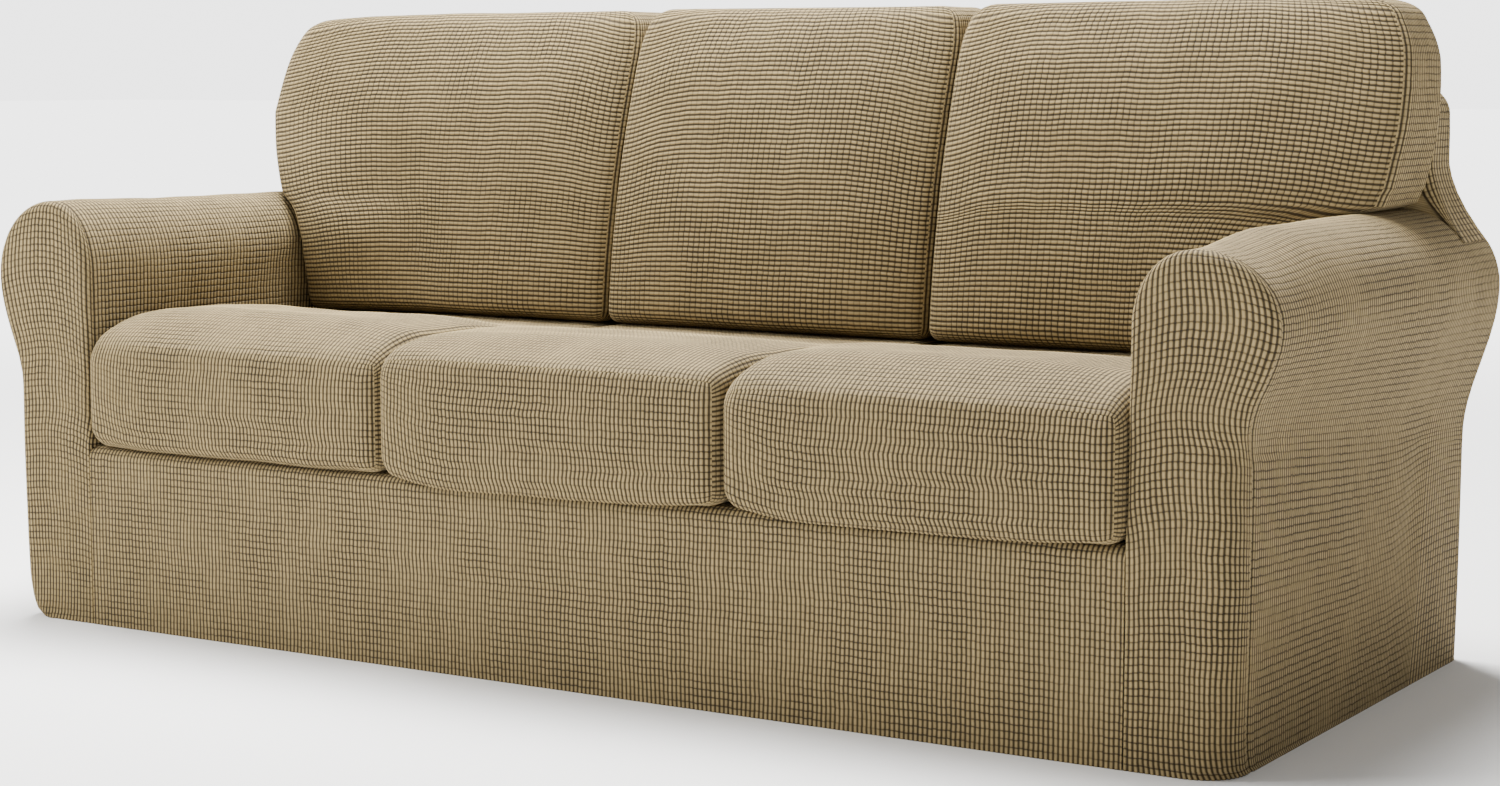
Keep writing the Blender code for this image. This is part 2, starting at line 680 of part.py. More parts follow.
def main():
    clear_scene()
    collection = new_collection(COLLECTION)
    for arm in ARMS:
        build_arm_front(arm, collection)
        build_arm_sleeve(arm, collection)
    build_apron(collection)
    build_seat_deck(collection)
    build_inside_back(collection)
    build_back_band(collection)
    build_back_panel(collection)
    for seat, back in zip(SEAT_COVERS, BACK_COVERS):
        build_seat_cover(seat, collection)
        build_back_cover(back, collection)


main()
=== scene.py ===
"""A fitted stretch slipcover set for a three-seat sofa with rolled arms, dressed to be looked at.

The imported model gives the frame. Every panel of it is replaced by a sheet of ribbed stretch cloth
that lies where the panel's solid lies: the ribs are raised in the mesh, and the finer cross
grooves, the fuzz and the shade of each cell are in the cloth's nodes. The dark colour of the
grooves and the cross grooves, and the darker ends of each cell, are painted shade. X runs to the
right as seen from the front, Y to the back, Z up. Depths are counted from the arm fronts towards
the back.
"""

from __future__ import annotations

import logging
import math
import sys
from collections.abc import Callable, Sequence
from dataclasses import dataclass
from enum import Enum
from typing import ClassVar

import bmesh
import bpy
import numpy as np
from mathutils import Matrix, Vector

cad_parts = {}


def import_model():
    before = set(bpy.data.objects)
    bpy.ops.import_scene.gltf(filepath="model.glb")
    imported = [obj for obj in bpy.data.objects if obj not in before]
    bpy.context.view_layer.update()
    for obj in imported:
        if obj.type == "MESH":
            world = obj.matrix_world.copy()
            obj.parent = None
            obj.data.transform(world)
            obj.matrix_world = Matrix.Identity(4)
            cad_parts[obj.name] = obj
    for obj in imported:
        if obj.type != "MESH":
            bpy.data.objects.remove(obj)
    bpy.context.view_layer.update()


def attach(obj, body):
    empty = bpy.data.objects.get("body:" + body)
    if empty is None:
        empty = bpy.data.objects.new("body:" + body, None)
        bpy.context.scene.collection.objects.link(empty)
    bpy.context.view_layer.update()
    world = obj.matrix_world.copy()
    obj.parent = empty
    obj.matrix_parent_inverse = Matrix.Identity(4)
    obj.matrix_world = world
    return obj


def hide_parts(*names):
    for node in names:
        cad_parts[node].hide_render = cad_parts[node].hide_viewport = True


LOG = logging.getLogger("sofa_slipcover")
Array = np.ndarray
Surface = Callable[[Array, Array], Array]
Pair = tuple[float, float]
Triple = tuple[float, float, float]
Numbers = tuple[float, ...]
Tree = bpy.types.NodeTree


# ---------------------------------------------------------------- plain numbers


def smooth(t: Array) -> Array:
    """Ease from 0 at t = 0 to 1 at t = 1."""
    t = np.clip(t, 0.0, 1.0)
    return t * t * (3 - 2 * t)


def mix(a: Array, b: Array, t: Array) -> Array:
    """Go the share t of the way from a to b."""
    return a + (b - a) * t


def unit(vectors: Array) -> Array:
    """Scale vectors to length one, and leave null vectors alone."""
    length = np.linalg.norm(vectors, axis=-1, keepdims=True)
    return vectors / np.where(length > 1e-12, length, 1.0)


def lengths_along(points: Array) -> Array:
    """Give the length walked at each point of a row of points."""
    steps = np.linalg.norm(np.diff(points, axis=0), axis=-1)
    return np.concatenate([[0.0], np.cumsum(steps)])


def walk(points: Array, share: Array) -> Array:
    """Find the places at given shares of a polyline's length.

    Args:
        points: The polyline, one point a row.
        share: Shares of the length, from 0 to 1, in any shape.

    Returns:
        The places, with the coordinates on a last axis.
    """
    walked = lengths_along(points)
    share = np.asarray(share) * walked[-1]
    return np.stack([np.interp(share, walked, points[:, k]) for k in range(points.shape[1])], -1)


def outward_normals(outline: Array) -> Array:
    """Give unit normals of an outline that runs up on the right and down on the left."""
    along = unit(np.gradient(outline, axis=0))
    return np.stack([along[:, 1], -along[:, 0]], -1)


def stood_off(outline: Array, gap: float) -> Array:
    """Move the right arm's outline, gone along from inside to outside, off the arm by a gap."""
    return outline + outward_normals(outline[::-1])[::-1] * gap


# ---------------------------------------------------------------- the sofa's sizes


class Side(Enum):
    """The two ends of the sofa, as signs of X."""

    LEFT = -1
    RIGHT = 1


@dataclass(frozen=True)
class Sofa:
    """Sizes that the covers share, in metres."""

    cloth: float = 0.0018
    gap: float = 0.0003
    depth: float = 0.885
    overhang: float = 0.032
    side_x: float = 1.031
    roll_x: float = 1.083
    inner_x: float = 0.888
    crown_x: float = 0.968
    deck_z: float = 0.284
    shoulder_z: float = 0.560
    section_start: float = 0.055
    back_foot_depth: float = 0.710
    back_lean: float = 0.160
    rear_radius: float = 0.018
    seam_strip: float = 0.004
    cover_pitch: float = 0.5919
    turn_under: float = 0.045

    def place(self, x: Array, depth: Array, z: Array) -> Array:
        """Make points from X, the depth behind the arm fronts and the height."""
        y = np.asarray(depth) - (self.depth - self.overhang) / 2
        return np.stack(np.broadcast_arrays(x, y, z), -1).astype(float)

    def inside_depth(self, z: Array) -> Array:
        """Give the depth of the inside back's leaning face."""
        return self.back_foot_depth + self.back_lean * (np.asarray(z) - self.deck_z)


SOFA = Sofa()


@dataclass(frozen=True)
class ArmShape:
    """The outline of one arm: side, neck, roll, shoulder and inner face, from the floor round."""

    side: Side
    crown_front: float
    crown_rear: float
    roll_z: float
    neck_front: float
    neck_rear: float
    swell: float
    corner: float
    hem: float
    crown_length: float = 0.20
    hem_rise: float = 0.070
    neck_lead: float = 0.02
    neck_blend: float = 0.10
    corner_strip: float = 0.015
    roll_radius: float = 0.014
    roll_seam: float = 0.018
    inner_radius: float = 0.012
    inner_seam: float = 0.016
    inner_blend: float = 0.25
    apron_share: float = 0.3
    apron_blend: float = 0.05

    # Places on the outline, counted in its stretches
    ROLL: ClassVar[float] = 2.0
    FOOT: ClassVar[float] = 2.4
    CROWN: ClassVar[float] = 3.0
    SHOULDER: ClassVar[float] = 4.0
    DECK: ClassVar[float] = 5.0
    FLOOR: ClassVar[float] = 6.0

    @property
    def name(self) -> str:
        """Name of this end in the panels' names."""
        return self.side.name.lower()

    def crown(self, depth: Array) -> Array:
        """Give the height of the arm's top."""
        ease = smooth((np.asarray(depth) - SOFA.section_start) / self.crown_length)
        return mix(self.crown_front, self.crown_rear, ease)

    def section(self, depth: Array, stretch: Array) -> tuple[Array, Array]:
        """Give the outline at a depth.

        Args:
            depth: Depth behind the arm fronts.
            stretch: Place on the outline, from 0 at the hem to 6 at the floor beside the apron.

        Returns:
            X, counted outwards from the sofa's middle, and Z.
        """
        depth, stretch = np.broadcast_arrays(np.asarray(depth, float), np.asarray(stretch, float))
        crown = self.crown(depth)
        along = np.maximum(depth - SOFA.section_start, 0.0) / (SOFA.depth - SOFA.section_start)
        neck_z = mix(self.neck_front, self.neck_rear, along)
        neck_x = SOFA.side_x + self.swell
        part = np.clip(np.floor(stretch), 0, 5)
        t = stretch - part
        quarter = t * math.pi / 2
        turn = (1 - np.cos(math.pi * t)) / 2
        parts = [part == k for k in range(6)]
        x = np.select(
            parts,
            [
                SOFA.side_x + self.swell * (1 - (1 - t) ** 3),
                mix(neck_x, SOFA.roll_x, turn),
                SOFA.crown_x + (SOFA.roll_x - SOFA.crown_x) * np.cos(quarter),
                SOFA.crown_x - (SOFA.crown_x - SOFA.inner_x) * np.sin(quarter),
                SOFA.inner_x + 0 * t,
                SOFA.inner_x + 0 * t,
            ],
        )
        z = np.select(
            parts,
            [
                neck_z * t,
                mix(neck_z, self.roll_z, t),
                self.roll_z + (crown - self.roll_z) * np.sin(quarter),
                SOFA.shoulder_z + (crown - SOFA.shoulder_z) * np.cos(quarter),
                mix(SOFA.shoulder_z, SOFA.deck_z, t),
                SOFA.deck_z * (1 - t),
            ],
        )
        return x, z

    def line(self, depth: float, stretch: Array) -> Array:
        """Give the outline at one depth as points (X, Z)."""
        return np.stack(self.section(depth, stretch), -1)

    def turned_edge(self, stretch: Array, z: Array) -> tuple[Array, Array]:
        """Give the radius of the front's turned edge, and the depth of the seam behind it."""
        rise = smooth((z - self.neck_front + self.neck_lead) / self.neck_blend)
        rise = np.where(stretch <= self.ROLL, rise, 1.0)
        opened = 1 - np.sqrt(1 - np.maximum(1 - z / self.hem_rise, 0) ** 2)
        corner = mix(self.corner, self.hem, opened)
        outer = mix(corner, self.roll_radius, rise)
        outer_seam = mix(corner + self.corner_strip, self.roll_seam, rise)
        share = mix(self.apron_share, 1.0, smooth((z - SOFA.deck_z) / self.apron_blend))
        inwards = smooth((stretch - self.CROWN) / self.inner_blend)
        radius = mix(outer, self.inner_radius * share, inwards)
        return radius, mix(outer_seam, self.inner_seam * share, inwards)


# ---------------------------------------------------------------- cloth


def linear(sheet_hex: str) -> tuple[float, float, float, float]:
    """Turn an sRGB hex colour to linear red, green, blue and alpha."""
    channels = [int(sheet_hex[i : i + 2], 16) / 255 for i in (1, 3, 5)]
    turned = [c / 12.92 if c <= 0.04045 else ((c + 0.055) / 1.055) ** 2.4 for c in channels]
    return (*turned, 1.0)


def add_node(
    tree: Tree,
    kind: str,
    settings: dict[str, object] | None = None,
    links: dict[int | str, object] | None = None,
) -> bpy.types.Node:
    """Add a node with its settings, and feed its inputs.

    Args:
        tree: The material's node tree.
        kind: Blender's name of the node.
        settings: Properties of the node and their values.
        links: Inputs by index or name. A socket is linked, any other value is set.

    Returns:
        The node.
    """
    node = tree.nodes.new(kind)
    for key, value in (settings or {}).items():
        setattr(node, key, value)
    for key, value in (links or {}).items():
        if isinstance(value, bpy.types.NodeSocket):
            tree.links.new(value, node.inputs[key])
        else:
            node.inputs[key].default_value = value
    return node


def ramp(
    tree: Tree, of: object, low: float, high: float, start: float, end: float
) -> bpy.types.NodeSocket:
    """Add a smooth change from start, where a value is low, to end, where it is high."""
    links = {0: of, 1: low, 2: high, 3: start, 4: end}
    settings = {"interpolation_type": "SMOOTHSTEP"}
    return add_node(tree, "ShaderNodeMapRange", settings, links).outputs[0]


def mesh_data(name: str, mesh: bmesh.types.BMesh, finish: bpy.types.Material) -> bpy.types.Mesh:
    """Keep a mesh as data of one finish, and free it."""
    data = bpy.data.meshes.new(name)
    mesh.to_mesh(data)
    mesh.free()
    data.materials.append(finish)
    return data


def add_object(name: str, data: bpy.types.ID) -> bpy.types.Object:
    """Put data into the scene as an object."""
    thing = bpy.data.objects.new(name, data)
    bpy.context.scene.collection.objects.link(thing)
    return thing


@dataclass(frozen=True)
class StretchJacquard:
    """Polyester and elastane jacquard, knitted in ribs that cross grooves split into small cells.

    It is matt and a little fuzzy: the raised ribs catch the light, and the cells differ slightly in
    shade. The grooves and the cross grooves are painted dark, which is painted shade in their
    hollows, and each cell is painted darker towards its ends, as painted shade of its rounding. A
    ramp says where from the middle of a period, at 0, to its end, at 1, something starts and is
    full. A relief is a depth in metres.
    """

    rib_hex: str = "#8C7A54"
    # The dark colours of the grooves and the cross grooves are painted shade in their hollows
    groove_shade_hex: str = "#1D150A"
    cross_shade_hex: str = "#2C2111"
    sheen_hex: str = "#D9C39A"
    sheen: float = 0.14
    sheen_roughness: float = 0.45
    roughness: float = 0.92
    specular: float = 0.25

    rib_pitch: float = 0.0076
    rib_relief: float = 0.0012
    rib_power: float = 0.7
    # Where and how strongly a groove is painted dark with painted shade, and its bump's depth
    groove_ramp: Pair = (0.24, 0.82)
    groove_shade_cover: float = 0.90
    groove_relief: float = 0.0003
    cell_pitch: float = 0.0102
    cell_shift: float = 0.10
    # Where and how strongly a cross groove is painted dark with painted shade, and its bump's depth
    cross_ramp: Pair = (0.66, 0.95)
    cross_shade_cover: float = 0.75
    cross_relief: float = 0.0009
    rounding_ramp: Pair = (0.25, 1.0)
    rounding_share: float = 0.4
    fibre: float = 0.0006
    fibre_size: float = 0.35
    fibre_relief: float = 0.00035

    # Threads don't run quite straight: the map is pushed about by less than two millimetres
    wander: Triple = (0.0016, 0.0030, 0.0)
    wander_scale: float = 55.0
    # Some patches are pulled more along the ribs, and their cross grooves open less
    patch_ramp: Pair = (0.34, 0.62)
    patch_least: float = 0.4
    patch_scale: float = 9.0

    base_shade: float = 0.75
    cell_shade: float = 0.16
    rib_shade: float = 0.08
    fibre_shade: float = 0.22
    cloud_shade: float = 0.16
    cloud_scale: float = 3.2
    # Painted shade: each cell is darkened towards its ends, where its rounding turns from the light
    rounding_painted_shade: float = -0.18
    bump: float = 0.9

    def material(self, name: str) -> bpy.types.Material:
        """Make the cloth's material.

        Args:
            name: The material's name.

        Returns:
            A material that reads the panel's own weave map, in metres of unstretched cloth.
        """
        material = bpy.data.materials.new(name)
        material.use_nodes = True
        tree = material.node_tree
        shader = tree.nodes["Principled BSDF"]
        weave = add_node(tree, "ShaderNodeUVMap", {"uv_map": "weave"}).outputs[0]
        place = add_node(tree, "ShaderNodeTexCoord").outputs["Object"]

        def value(operation: str, a: object, b: object = 0.0) -> object:
            """Add one step of arithmetic and give its result."""
            settings = {"operation": operation}
            return add_node(tree, "ShaderNodeMath", settings, {0: a, 1: b}).outputs[0]

        def vector(operation: str, links: dict[int | str, object]) -> object:
            """Add one step of vector arithmetic and give its result."""
            settings = {"operation": operation}
            return add_node(tree, "ShaderNodeVectorMath", settings, links).outputs[0]

        def noise(scale: float, detail: float, rough: float = 0.5, output: str = "Fac") -> object:
            """Add noise over the place on the sofa."""
            links = {"Vector": place, "Scale": scale, "Detail": detail, "Roughness": rough}
            return add_node(tree, "ShaderNodeTexNoise", {}, links).outputs[output]

        def blend(share: object, a: object, b: object) -> object:
            """Mix two colours by a share."""
            links = {0: share, 6: a, 7: b}
            return add_node(tree, "ShaderNodeMix", {"data_type": "RGBA"}, links).outputs[2]

        def summed(*parts: tuple[object, float]) -> object:
            """Add up values, each multiplied by its amount."""
            total = value("MULTIPLY", *parts[0])
            for part in parts[1:]:
                total = value("ADD", total, value("MULTIPLY", *part))
            return total

        def valley(of: object, low: float, high: float) -> object:
            """Rise between two shares of the way from each period's middle to its ends."""
            middle = value("SUBTRACT", value("FRACT", of), 0.5)
            away = value("MULTIPLY", value("ABSOLUTE", middle), 2.0)
            return ramp(tree, away, low, high, 0.0, 1.0)

        threads = noise(self.wander_scale, 2.0, output="Color")
        pushed = vector("SUBTRACT", {0: threads, 1: (0.5, 0.5, 0.5)})
        pushed = vector("MULTIPLY_ADD", {0: pushed, 1: self.wander, 2: weave})
        axes = add_node(tree, "ShaderNodeSeparateXYZ", {}, {0: pushed})
        ribs = value("DIVIDE", axes.outputs[0], self.rib_pitch)
        rib = value("FLOOR", ribs)
        rib_shade = add_node(
            tree, "ShaderNodeTexWhiteNoise", {"noise_dimensions": "1D"}, {"W": rib}
        ).outputs[0]
        cells = value("DIVIDE", axes.outputs[1], self.cell_pitch)
        cells = value("ADD", cells, value("MULTIPLY", rib_shade, self.cell_shift))

        patches = ramp(tree, noise(self.patch_scale, 4.0), *self.patch_ramp, 0.0, 1.0)
        opened = value("MULTIPLY", patches, 1 - self.patch_least)
        opened = value("ADD", opened, self.patch_least)
        groove = valley(ribs, *self.groove_ramp)
        cross = value("MULTIPLY", valley(cells, *self.cross_ramp), opened)
        rounding = value("MULTIPLY", valley(cells, *self.rounding_ramp), opened)

        cell = add_node(
            tree, "ShaderNodeCombineXYZ", {}, {0: rib, 1: value("FLOOR", cells)}
        ).outputs[0]
        cell_shade = add_node(tree, "ShaderNodeTexWhiteNoise", {}, {"Vector": cell}).outputs[0]
        fibres = noise(self.fibre_size / self.fibre, 3.0, 0.7)
        # Tone that differs at random by cell, rib, fibre and cloud, and painted shade towards each
        # cell's ends
        shade = summed(
            (cell_shade, self.cell_shade),
            (rib_shade, self.rib_shade),
            (fibres, self.fibre_shade),
            (noise(self.cloud_scale, 2.0), self.cloud_shade),
            (rounding, self.rounding_painted_shade),
        )
        # Paint the cross grooves, then the grooves, in their dark colours: painted shade in the
        # hollows
        painted_shade_share = value("MULTIPLY", cross, self.cross_shade_cover)
        colour = blend(painted_shade_share, linear(self.rib_hex), linear(self.cross_shade_hex))
        painted_shade_share = value("MULTIPLY", groove, self.groove_shade_cover)
        colour = blend(painted_shade_share, colour, linear(self.groove_shade_hex))
        colour = vector("SCALE", {0: colour, "Scale": value("ADD", shade, self.base_shade)})
        height = summed(
            (cross, -self.cross_relief),
            (rounding, -self.rounding_share * self.cross_relief),
            (groove, -self.groove_relief),
            (fibres, self.fibre_relief),
        )
        links = {"Strength": self.bump, "Distance": 1.0, "Height": height}
        bump = add_node(tree, "ShaderNodeBump", {}, links)
        tree.links.new(bump.outputs[0], shader.inputs["Normal"])
        tree.links.new(colour, shader.inputs["Base Color"])
        for key, amount in {
            "Roughness": self.roughness,
            "Metallic": 0.0,
            "Sheen Weight": self.sheen,
            "Sheen Roughness": self.sheen_roughness,
            "Sheen Tint": linear(self.sheen_hex),
            "Specular IOR Level": self.specular,
        }.items():
            shader.inputs[key].default_value = amount
        return material


JACQUARD = StretchJacquard()


@dataclass(frozen=True)
class Crease:
    """A soft trough, or a ridge where its height is positive, along a straight line."""

    start: Array
    end: Array
    width: float
    height: float

    # The least share of the way that the taper counts from each end, and its power
    SHORT: ClassVar[float] = 0.04
    POWER: ClassVar[float] = 0.6

    @classmethod
    def from_row(cls, row: Sequence[float]) -> Crease:
        """Read X, depth and height of both ends, the width and the height, in millimetres."""
        metres = [number / 1000 for number in row]
        return cls(SOFA.place(*metres[:3]), SOFA.place(*metres[3:6]), *metres[6:])

    def lift(self, points: Array) -> Array:
        """Give how far the cloth is lifted at points, tapering off at the line's ends."""
        line = self.end - self.start
        share = (points - self.start) @ line / (line @ line)
        nearest = self.start + np.clip(share, 0, 1)[..., None] * line
        away = np.linalg.norm(points - nearest, axis=-1)
        taper = np.sin(math.pi * np.clip(share, self.SHORT, 1 - self.SHORT)) ** self.POWER
        return self.height * taper * np.exp(-((away / self.width) ** 2))


# The main folds by panel, as rows that Crease.from_row reads
FOLDS = {
    "arm_front_left": [
        (-884, 4, 302, -940, 0, 288, 8, -3),
        (-930, 0, 420, -915, 0, 240, 22, 2),
    ],
    "arm_front_right": [
        (1019, 12, 400, 1003, 19, -10, 3.5, -2.2),
        (985, 0, 418, 1036, 22, 398, 10, -3.5),
        (930, 0, 480, 905, 0, 240, 20, 2),
    ],
    "arm_sleeve_left": [
        (-889, 600, 600, -888, 400, 520, 20, -3.5),
        (-888, 560, 545, -888, 380, 495, 16, -3),
        (-888, 300, 560, -888, 120, 500, 35, 2.5),
    ],
    "arm_sleeve_right": [
        (1031, 55, 400, 1028, 160, 412, 11, -4),
        (1034, 300, 360, 1034, 420, 120, 50, 3),
        (1034, 700, 380, 1034, 620, 150, 45, -3),
        (1000, 500, 660, 1060, 620, 620, 30, -3),
    ],
    "apron": [
        (-760, 0, 250, -640, 0, 50, 50, 3),
        (-330, 0, 240, -270, 0, 60, 60, -3),
        (40, 0, 230, 180, 0, 50, 60, 3),
        (480, 0, 240, 440, 0, 60, 50, -3),
        (760, 0, 250, 700, 0, 80, 45, 3),
    ],
    "seat_wrap_1": [
        (-820, 110, 500, -380, 90, 500, 45, 4),
        (-700, 300, 480, -420, 260, 480, 50, -4),
    ],
    "seat_wrap_2": [
        (-200, 90, 490, 220, 110, 490, 45, 3.5),
    ],
    "seat_wrap_3": [
        (380, 100, 495, 800, 90, 495, 45, 3.5),
    ],
    "back_front_1": [
        (-920, 540, 600, -660, 575, 700, 45, -4.5),
        (-860, 600, 840, -640, 590, 760, 45, 3.5),
        (-480, 570, 680, -360, 560, 560, 40, -3.5),
    ],
    "back_front_2": [
        (-240, 610, 840, -40, 575, 690, 50, -4.5),
        (60, 590, 760, 220, 560, 600, 45, 3.5),
    ],
    "back_front_3": [
        (400, 600, 820, 580, 570, 660, 50, -4.5),
        (720, 590, 760, 900, 560, 650, 45, 3.5),
        (940, 640, 860, 840, 610, 800, 30, -3.5),
    ],
}


@dataclass(frozen=True)
class Bend:
    """A place where the weave is pulled aside: its lines shift there, and settle back around it.

    Places and shifts are shares of the panel, across its ribs and along them.
    """

    across: float
    along: float
    reach_across: float
    reach_along: float
    shift_across: float = 0.0
    shift_along: float = 0.0

    def pull(self, a: Array, b: Array) -> tuple[Array, Array]:
        """Give the shifts at places of the panel, none across its own edges."""
        away = ((a - self.across) / self.reach_across) ** 2
        near = np.exp(-away - ((b - self.along) / self.reach_along) ** 2)
        across = self.shift_across * near * np.clip(6 * a * (1 - a), 0, 1)
        return across, self.shift_along * near * np.clip(6 * b * (1 - b), 0, 1)


@dataclass(frozen=True)
class Stretch:
    """One stretch of a panel across its ribs: where it ends, its rib spacing, and if it shows.

    Where it doesn't show, its ribs aren't raised and its lines are a step apart.
    """

    end: float
    pitch: float = JACQUARD.rib_pitch
    ribbed: bool = True
    step: float = 0.04


@dataclass
class Panel:
    """A sheet of ribbed cloth over a smooth surface.

    The surface takes a place across the ribs and a place along them, both from 0 to 1.
    """

    node: str
    surface: Surface
    inside: Triple
    flat: Pair
    area: float | None = None
    stretches: Sequence[Stretch] = (Stretch(1.0),)
    samples: int = 4
    longest: float = 0.030
    turn: float = 0.22
    stops: Sequence[float] = ()
    keep: Callable[[Array, Array], Array] | None = None
    sewn: Pair = (0.0, 0.0)
    sewn_width: float = 0.004
    bends: Sequence[Bend] = ()
    waves: float = 0.0007
    wander: float = 0.25
    rests_on: Sequence[str] = ()

    # How finely a surface is looked at, and at which shares of it; and the waves of padding, in
    # radians a metre, and of the ribs' sway, in radians along and across a panel
    LOOK: ClassVar[int] = 401
    LOOKS_ALONG: ClassVar[Numbers] = (0.15, 0.5, 0.85)
    LOOKS_ACROSS: ClassVar[Numbers] = (0.04, 0.35, 0.65, 0.96)
    PADDING: ClassVar[Numbers] = (22.0, 33.0, 47.0, 61.0)
    SWAYS: ClassVar[tuple[Pair, ...]] = ((9.0, 4.0), (23.0, -7.0), (51.0, 3.0))
    MERGED: ClassVar[float] = 0.00002

    def lines_across(self) -> tuple[Array, Array, Array]:
        """Space the lines across the ribs.

        Returns:
            The lines' places, each line's rib count, whole at a groove and a half at the panel's
            edges, and its height: 0 on top of a rib, and the whole relief down in a groove.
        """
        fine = np.linspace(0.0, 1.0, self.LOOK)
        walked = np.mean(
            [lengths_along(self.surface(fine, 0 * fine + b)) for b in self.LOOKS_ALONG], axis=0
        )
        places, counts, raised = [np.zeros(1)], [np.full(1, 0.5)], [np.zeros(1)]
        start, ribs = 0.0, 0.5
        for stretch in self.stretches:
            low, high = np.interp([start, stretch.end], fine, walked)
            number = max(round((high - low) / stretch.pitch), 1)
            plain = math.ceil((high - low) / stretch.step)
            steps = number * self.samples if stretch.ribbed else plain
            aims = np.linspace(low, high, steps + 1)[1:]
            places.append(np.interp(aims, walked, fine))
            counts.append(ribs + np.linspace(0.0, number, steps + 1)[1:])
            raised.append(np.full(steps, float(stretch.ribbed)))
            start, ribs = stretch.end, ribs + number
        counts = np.concatenate(counts)
        crest = np.abs(np.sin(math.pi * counts)) ** JACQUARD.rib_power
        relief = -JACQUARD.rib_relief * (1 - crest) * np.concatenate(raised)
        return np.concatenate(places), counts, relief

    def lines_along(self) -> tuple[Array, Array]:
        """Space the lines along the ribs closer where the cloth turns.

        Returns:
            The lines' places, and how far along the cloth each lies.
        """
        fine = np.linspace(0.0, 1.0, self.LOOK)
        looks = [self.surface(0 * fine + a, fine) for a in self.LOOKS_ACROSS]
        cost = 0.0
        for points in looks:
            steps = np.diff(points, axis=0)
            along = unit(steps)
            cosine = np.clip((along[1:] * along[:-1]).sum(-1), -1, 1)
            turned = np.concatenate([[0.0], np.arccos(cosine)])
            length = np.linalg.norm(steps, axis=-1)
            turned = np.where(length > 1e-7, turned, 0.0)
            cost = np.maximum(cost, length / self.longest + turned / self.turn)
        walked = np.concatenate([[0.0], np.cumsum(cost)])
        edges = np.interp([0.0, *self.stops, 1.0], fine, walked)
        lines = [np.zeros(1)]
        for low, high in zip(edges, edges[1:]):
            number = max(math.ceil(high - low), 1)
            aims = np.linspace(low, high, number + 1)[1:]
            lines.append(np.interp(aims, walked, fine))
        places = np.concatenate(lines)
        for stop in self.stops:
            places[np.abs(places - stop).argmin()] = stop
        lengths = np.mean([lengths_along(points) for points in looks[1:3]], axis=0)
        return places, np.interp(places, fine, lengths)

    def soft_waves(self, points: Array) -> Array:
        """Give the slight unevenness of cloth stretched over padding."""
        random = np.random.default_rng(sum(map(ord, self.node)))
        lift = np.zeros(points.shape[:-1])
        for wave in self.PADDING:
            way = unit(random.normal(size=3)) * wave
            lift += np.sin(points @ way + random.uniform(0, math.tau)) / 2
        return lift * self.waves

    def drawn_in(self, points: Array) -> Array:
        """Give how far the cloth is drawn in beside its first and last rib, where it is sewn."""
        steps = np.linalg.norm(np.diff(points, axis=1), axis=-1)
        walked = np.insert(np.cumsum(steps, axis=1), 0, 0.0, axis=1)
        first = self.sewn[0] * np.exp(-((walked / self.sewn_width) ** 2))
        rest = (walked[:, -1:] - walked) / self.sewn_width
        return first + self.sewn[1] * np.exp(-(rest**2))

    def mesh(self) -> bmesh.types.BMesh:
        """Build the sheet's outer face, with its ribs and its weave map."""
        across, counts, relief = self.lines_across()
        along, lengths = self.lines_along()
        a, b = np.meshgrid(across, along)
        middle = 16 * (a * (1 - a) * b * (1 - b))
        width = across[1] / (counts[1] - counts[0])
        sway = sum(np.sin(turns * b + lean * a) for turns, lean in self.SWAYS)
        pulls = [bend.pull(a, b) for bend in self.bends]
        across_at = a + self.wander * width * sway * middle / 2 + sum(pull[0] for pull in pulls)
        along_at = b + sum(pull[1] for pull in pulls)
        points = self.surface(np.clip(across_at, 0, 1), np.clip(along_at, 0, 1))
        down, over = np.gradient(points, axis=0), np.gradient(points, axis=1)
        normals = unit(np.cross(over, down))
        outwards = np.sign((normals * (points - SOFA.place(*self.inside))).sum())
        normals *= outwards
        lift = relief[None, :] + self.soft_waves(points) * np.minimum(middle * 4, 1)
        lift -= self.drawn_in(points)
        for row in FOLDS.get(self.node, ()):
            lift += Crease.from_row(row).lift(points)
        points += normals * lift[..., None]

        mesh = bmesh.new()
        columns, rows = len(across) - 1, len(along) - 1
        bmesh.ops.create_grid(mesh, x_segments=columns, y_segments=rows, size=1.0)
        for vertex, place in zip(mesh.verts, points.reshape(-1, 3)):
            vertex.co = place
        stretch = JACQUARD.rib_pitch * counts
        weave = mesh.loops.layers.uv.new("weave")
        for face in mesh.faces:
            for loop in face.loops:
                row, column = divmod(loop.vert.index, columns + 1)
                loop[weave].uv = (stretch[column], lengths[row])
        if self.keep:
            kept = self.keep((a[1:, 1:] + a[:-1, :-1]) / 2, (b[1:, 1:] + b[:-1, :-1]) / 2)
            corners = [min(vertex.index for vertex in face.verts) for face in mesh.faces]
            shown = [kept[divmod(corner, columns + 1)] for corner in corners]
            dropped = [face for face, is_shown in zip(mesh.faces, shown) if not is_shown]
            bmesh.ops.delete(mesh, geom=dropped, context="FACES")
        if outwards < 0:
            bmesh.ops.reverse_faces(mesh, faces=mesh.faces)
        bmesh.ops.remove_doubles(mesh, verts=mesh.verts, dist=self.MERGED)
        for edge in mesh.edges:
            edge.smooth = not edge.is_boundary
        return mesh

    def build(self, finish: bpy.types.Material) -> bpy.types.Object:
        """Make the sheet's object and hand it to the frame.

        Args:
            finish: The cloth's material.

        Returns:
            The object, which stands for its node.
        """
        name = self.node + "_cloth"
        data = mesh_data(name, self.mesh(), finish)
        data.shade_smooth()
        piece = add_object(name, data)
        cloth = piece.modifiers.new("cloth", "SOLIDIFY")
        cloth.thickness = SOFA.cloth
        cloth.offset = -1.0
        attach(piece, "root")
        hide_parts(self.node)
        LOG.info("%s: %d faces", piece.name, len(data.polygons))
        return piece


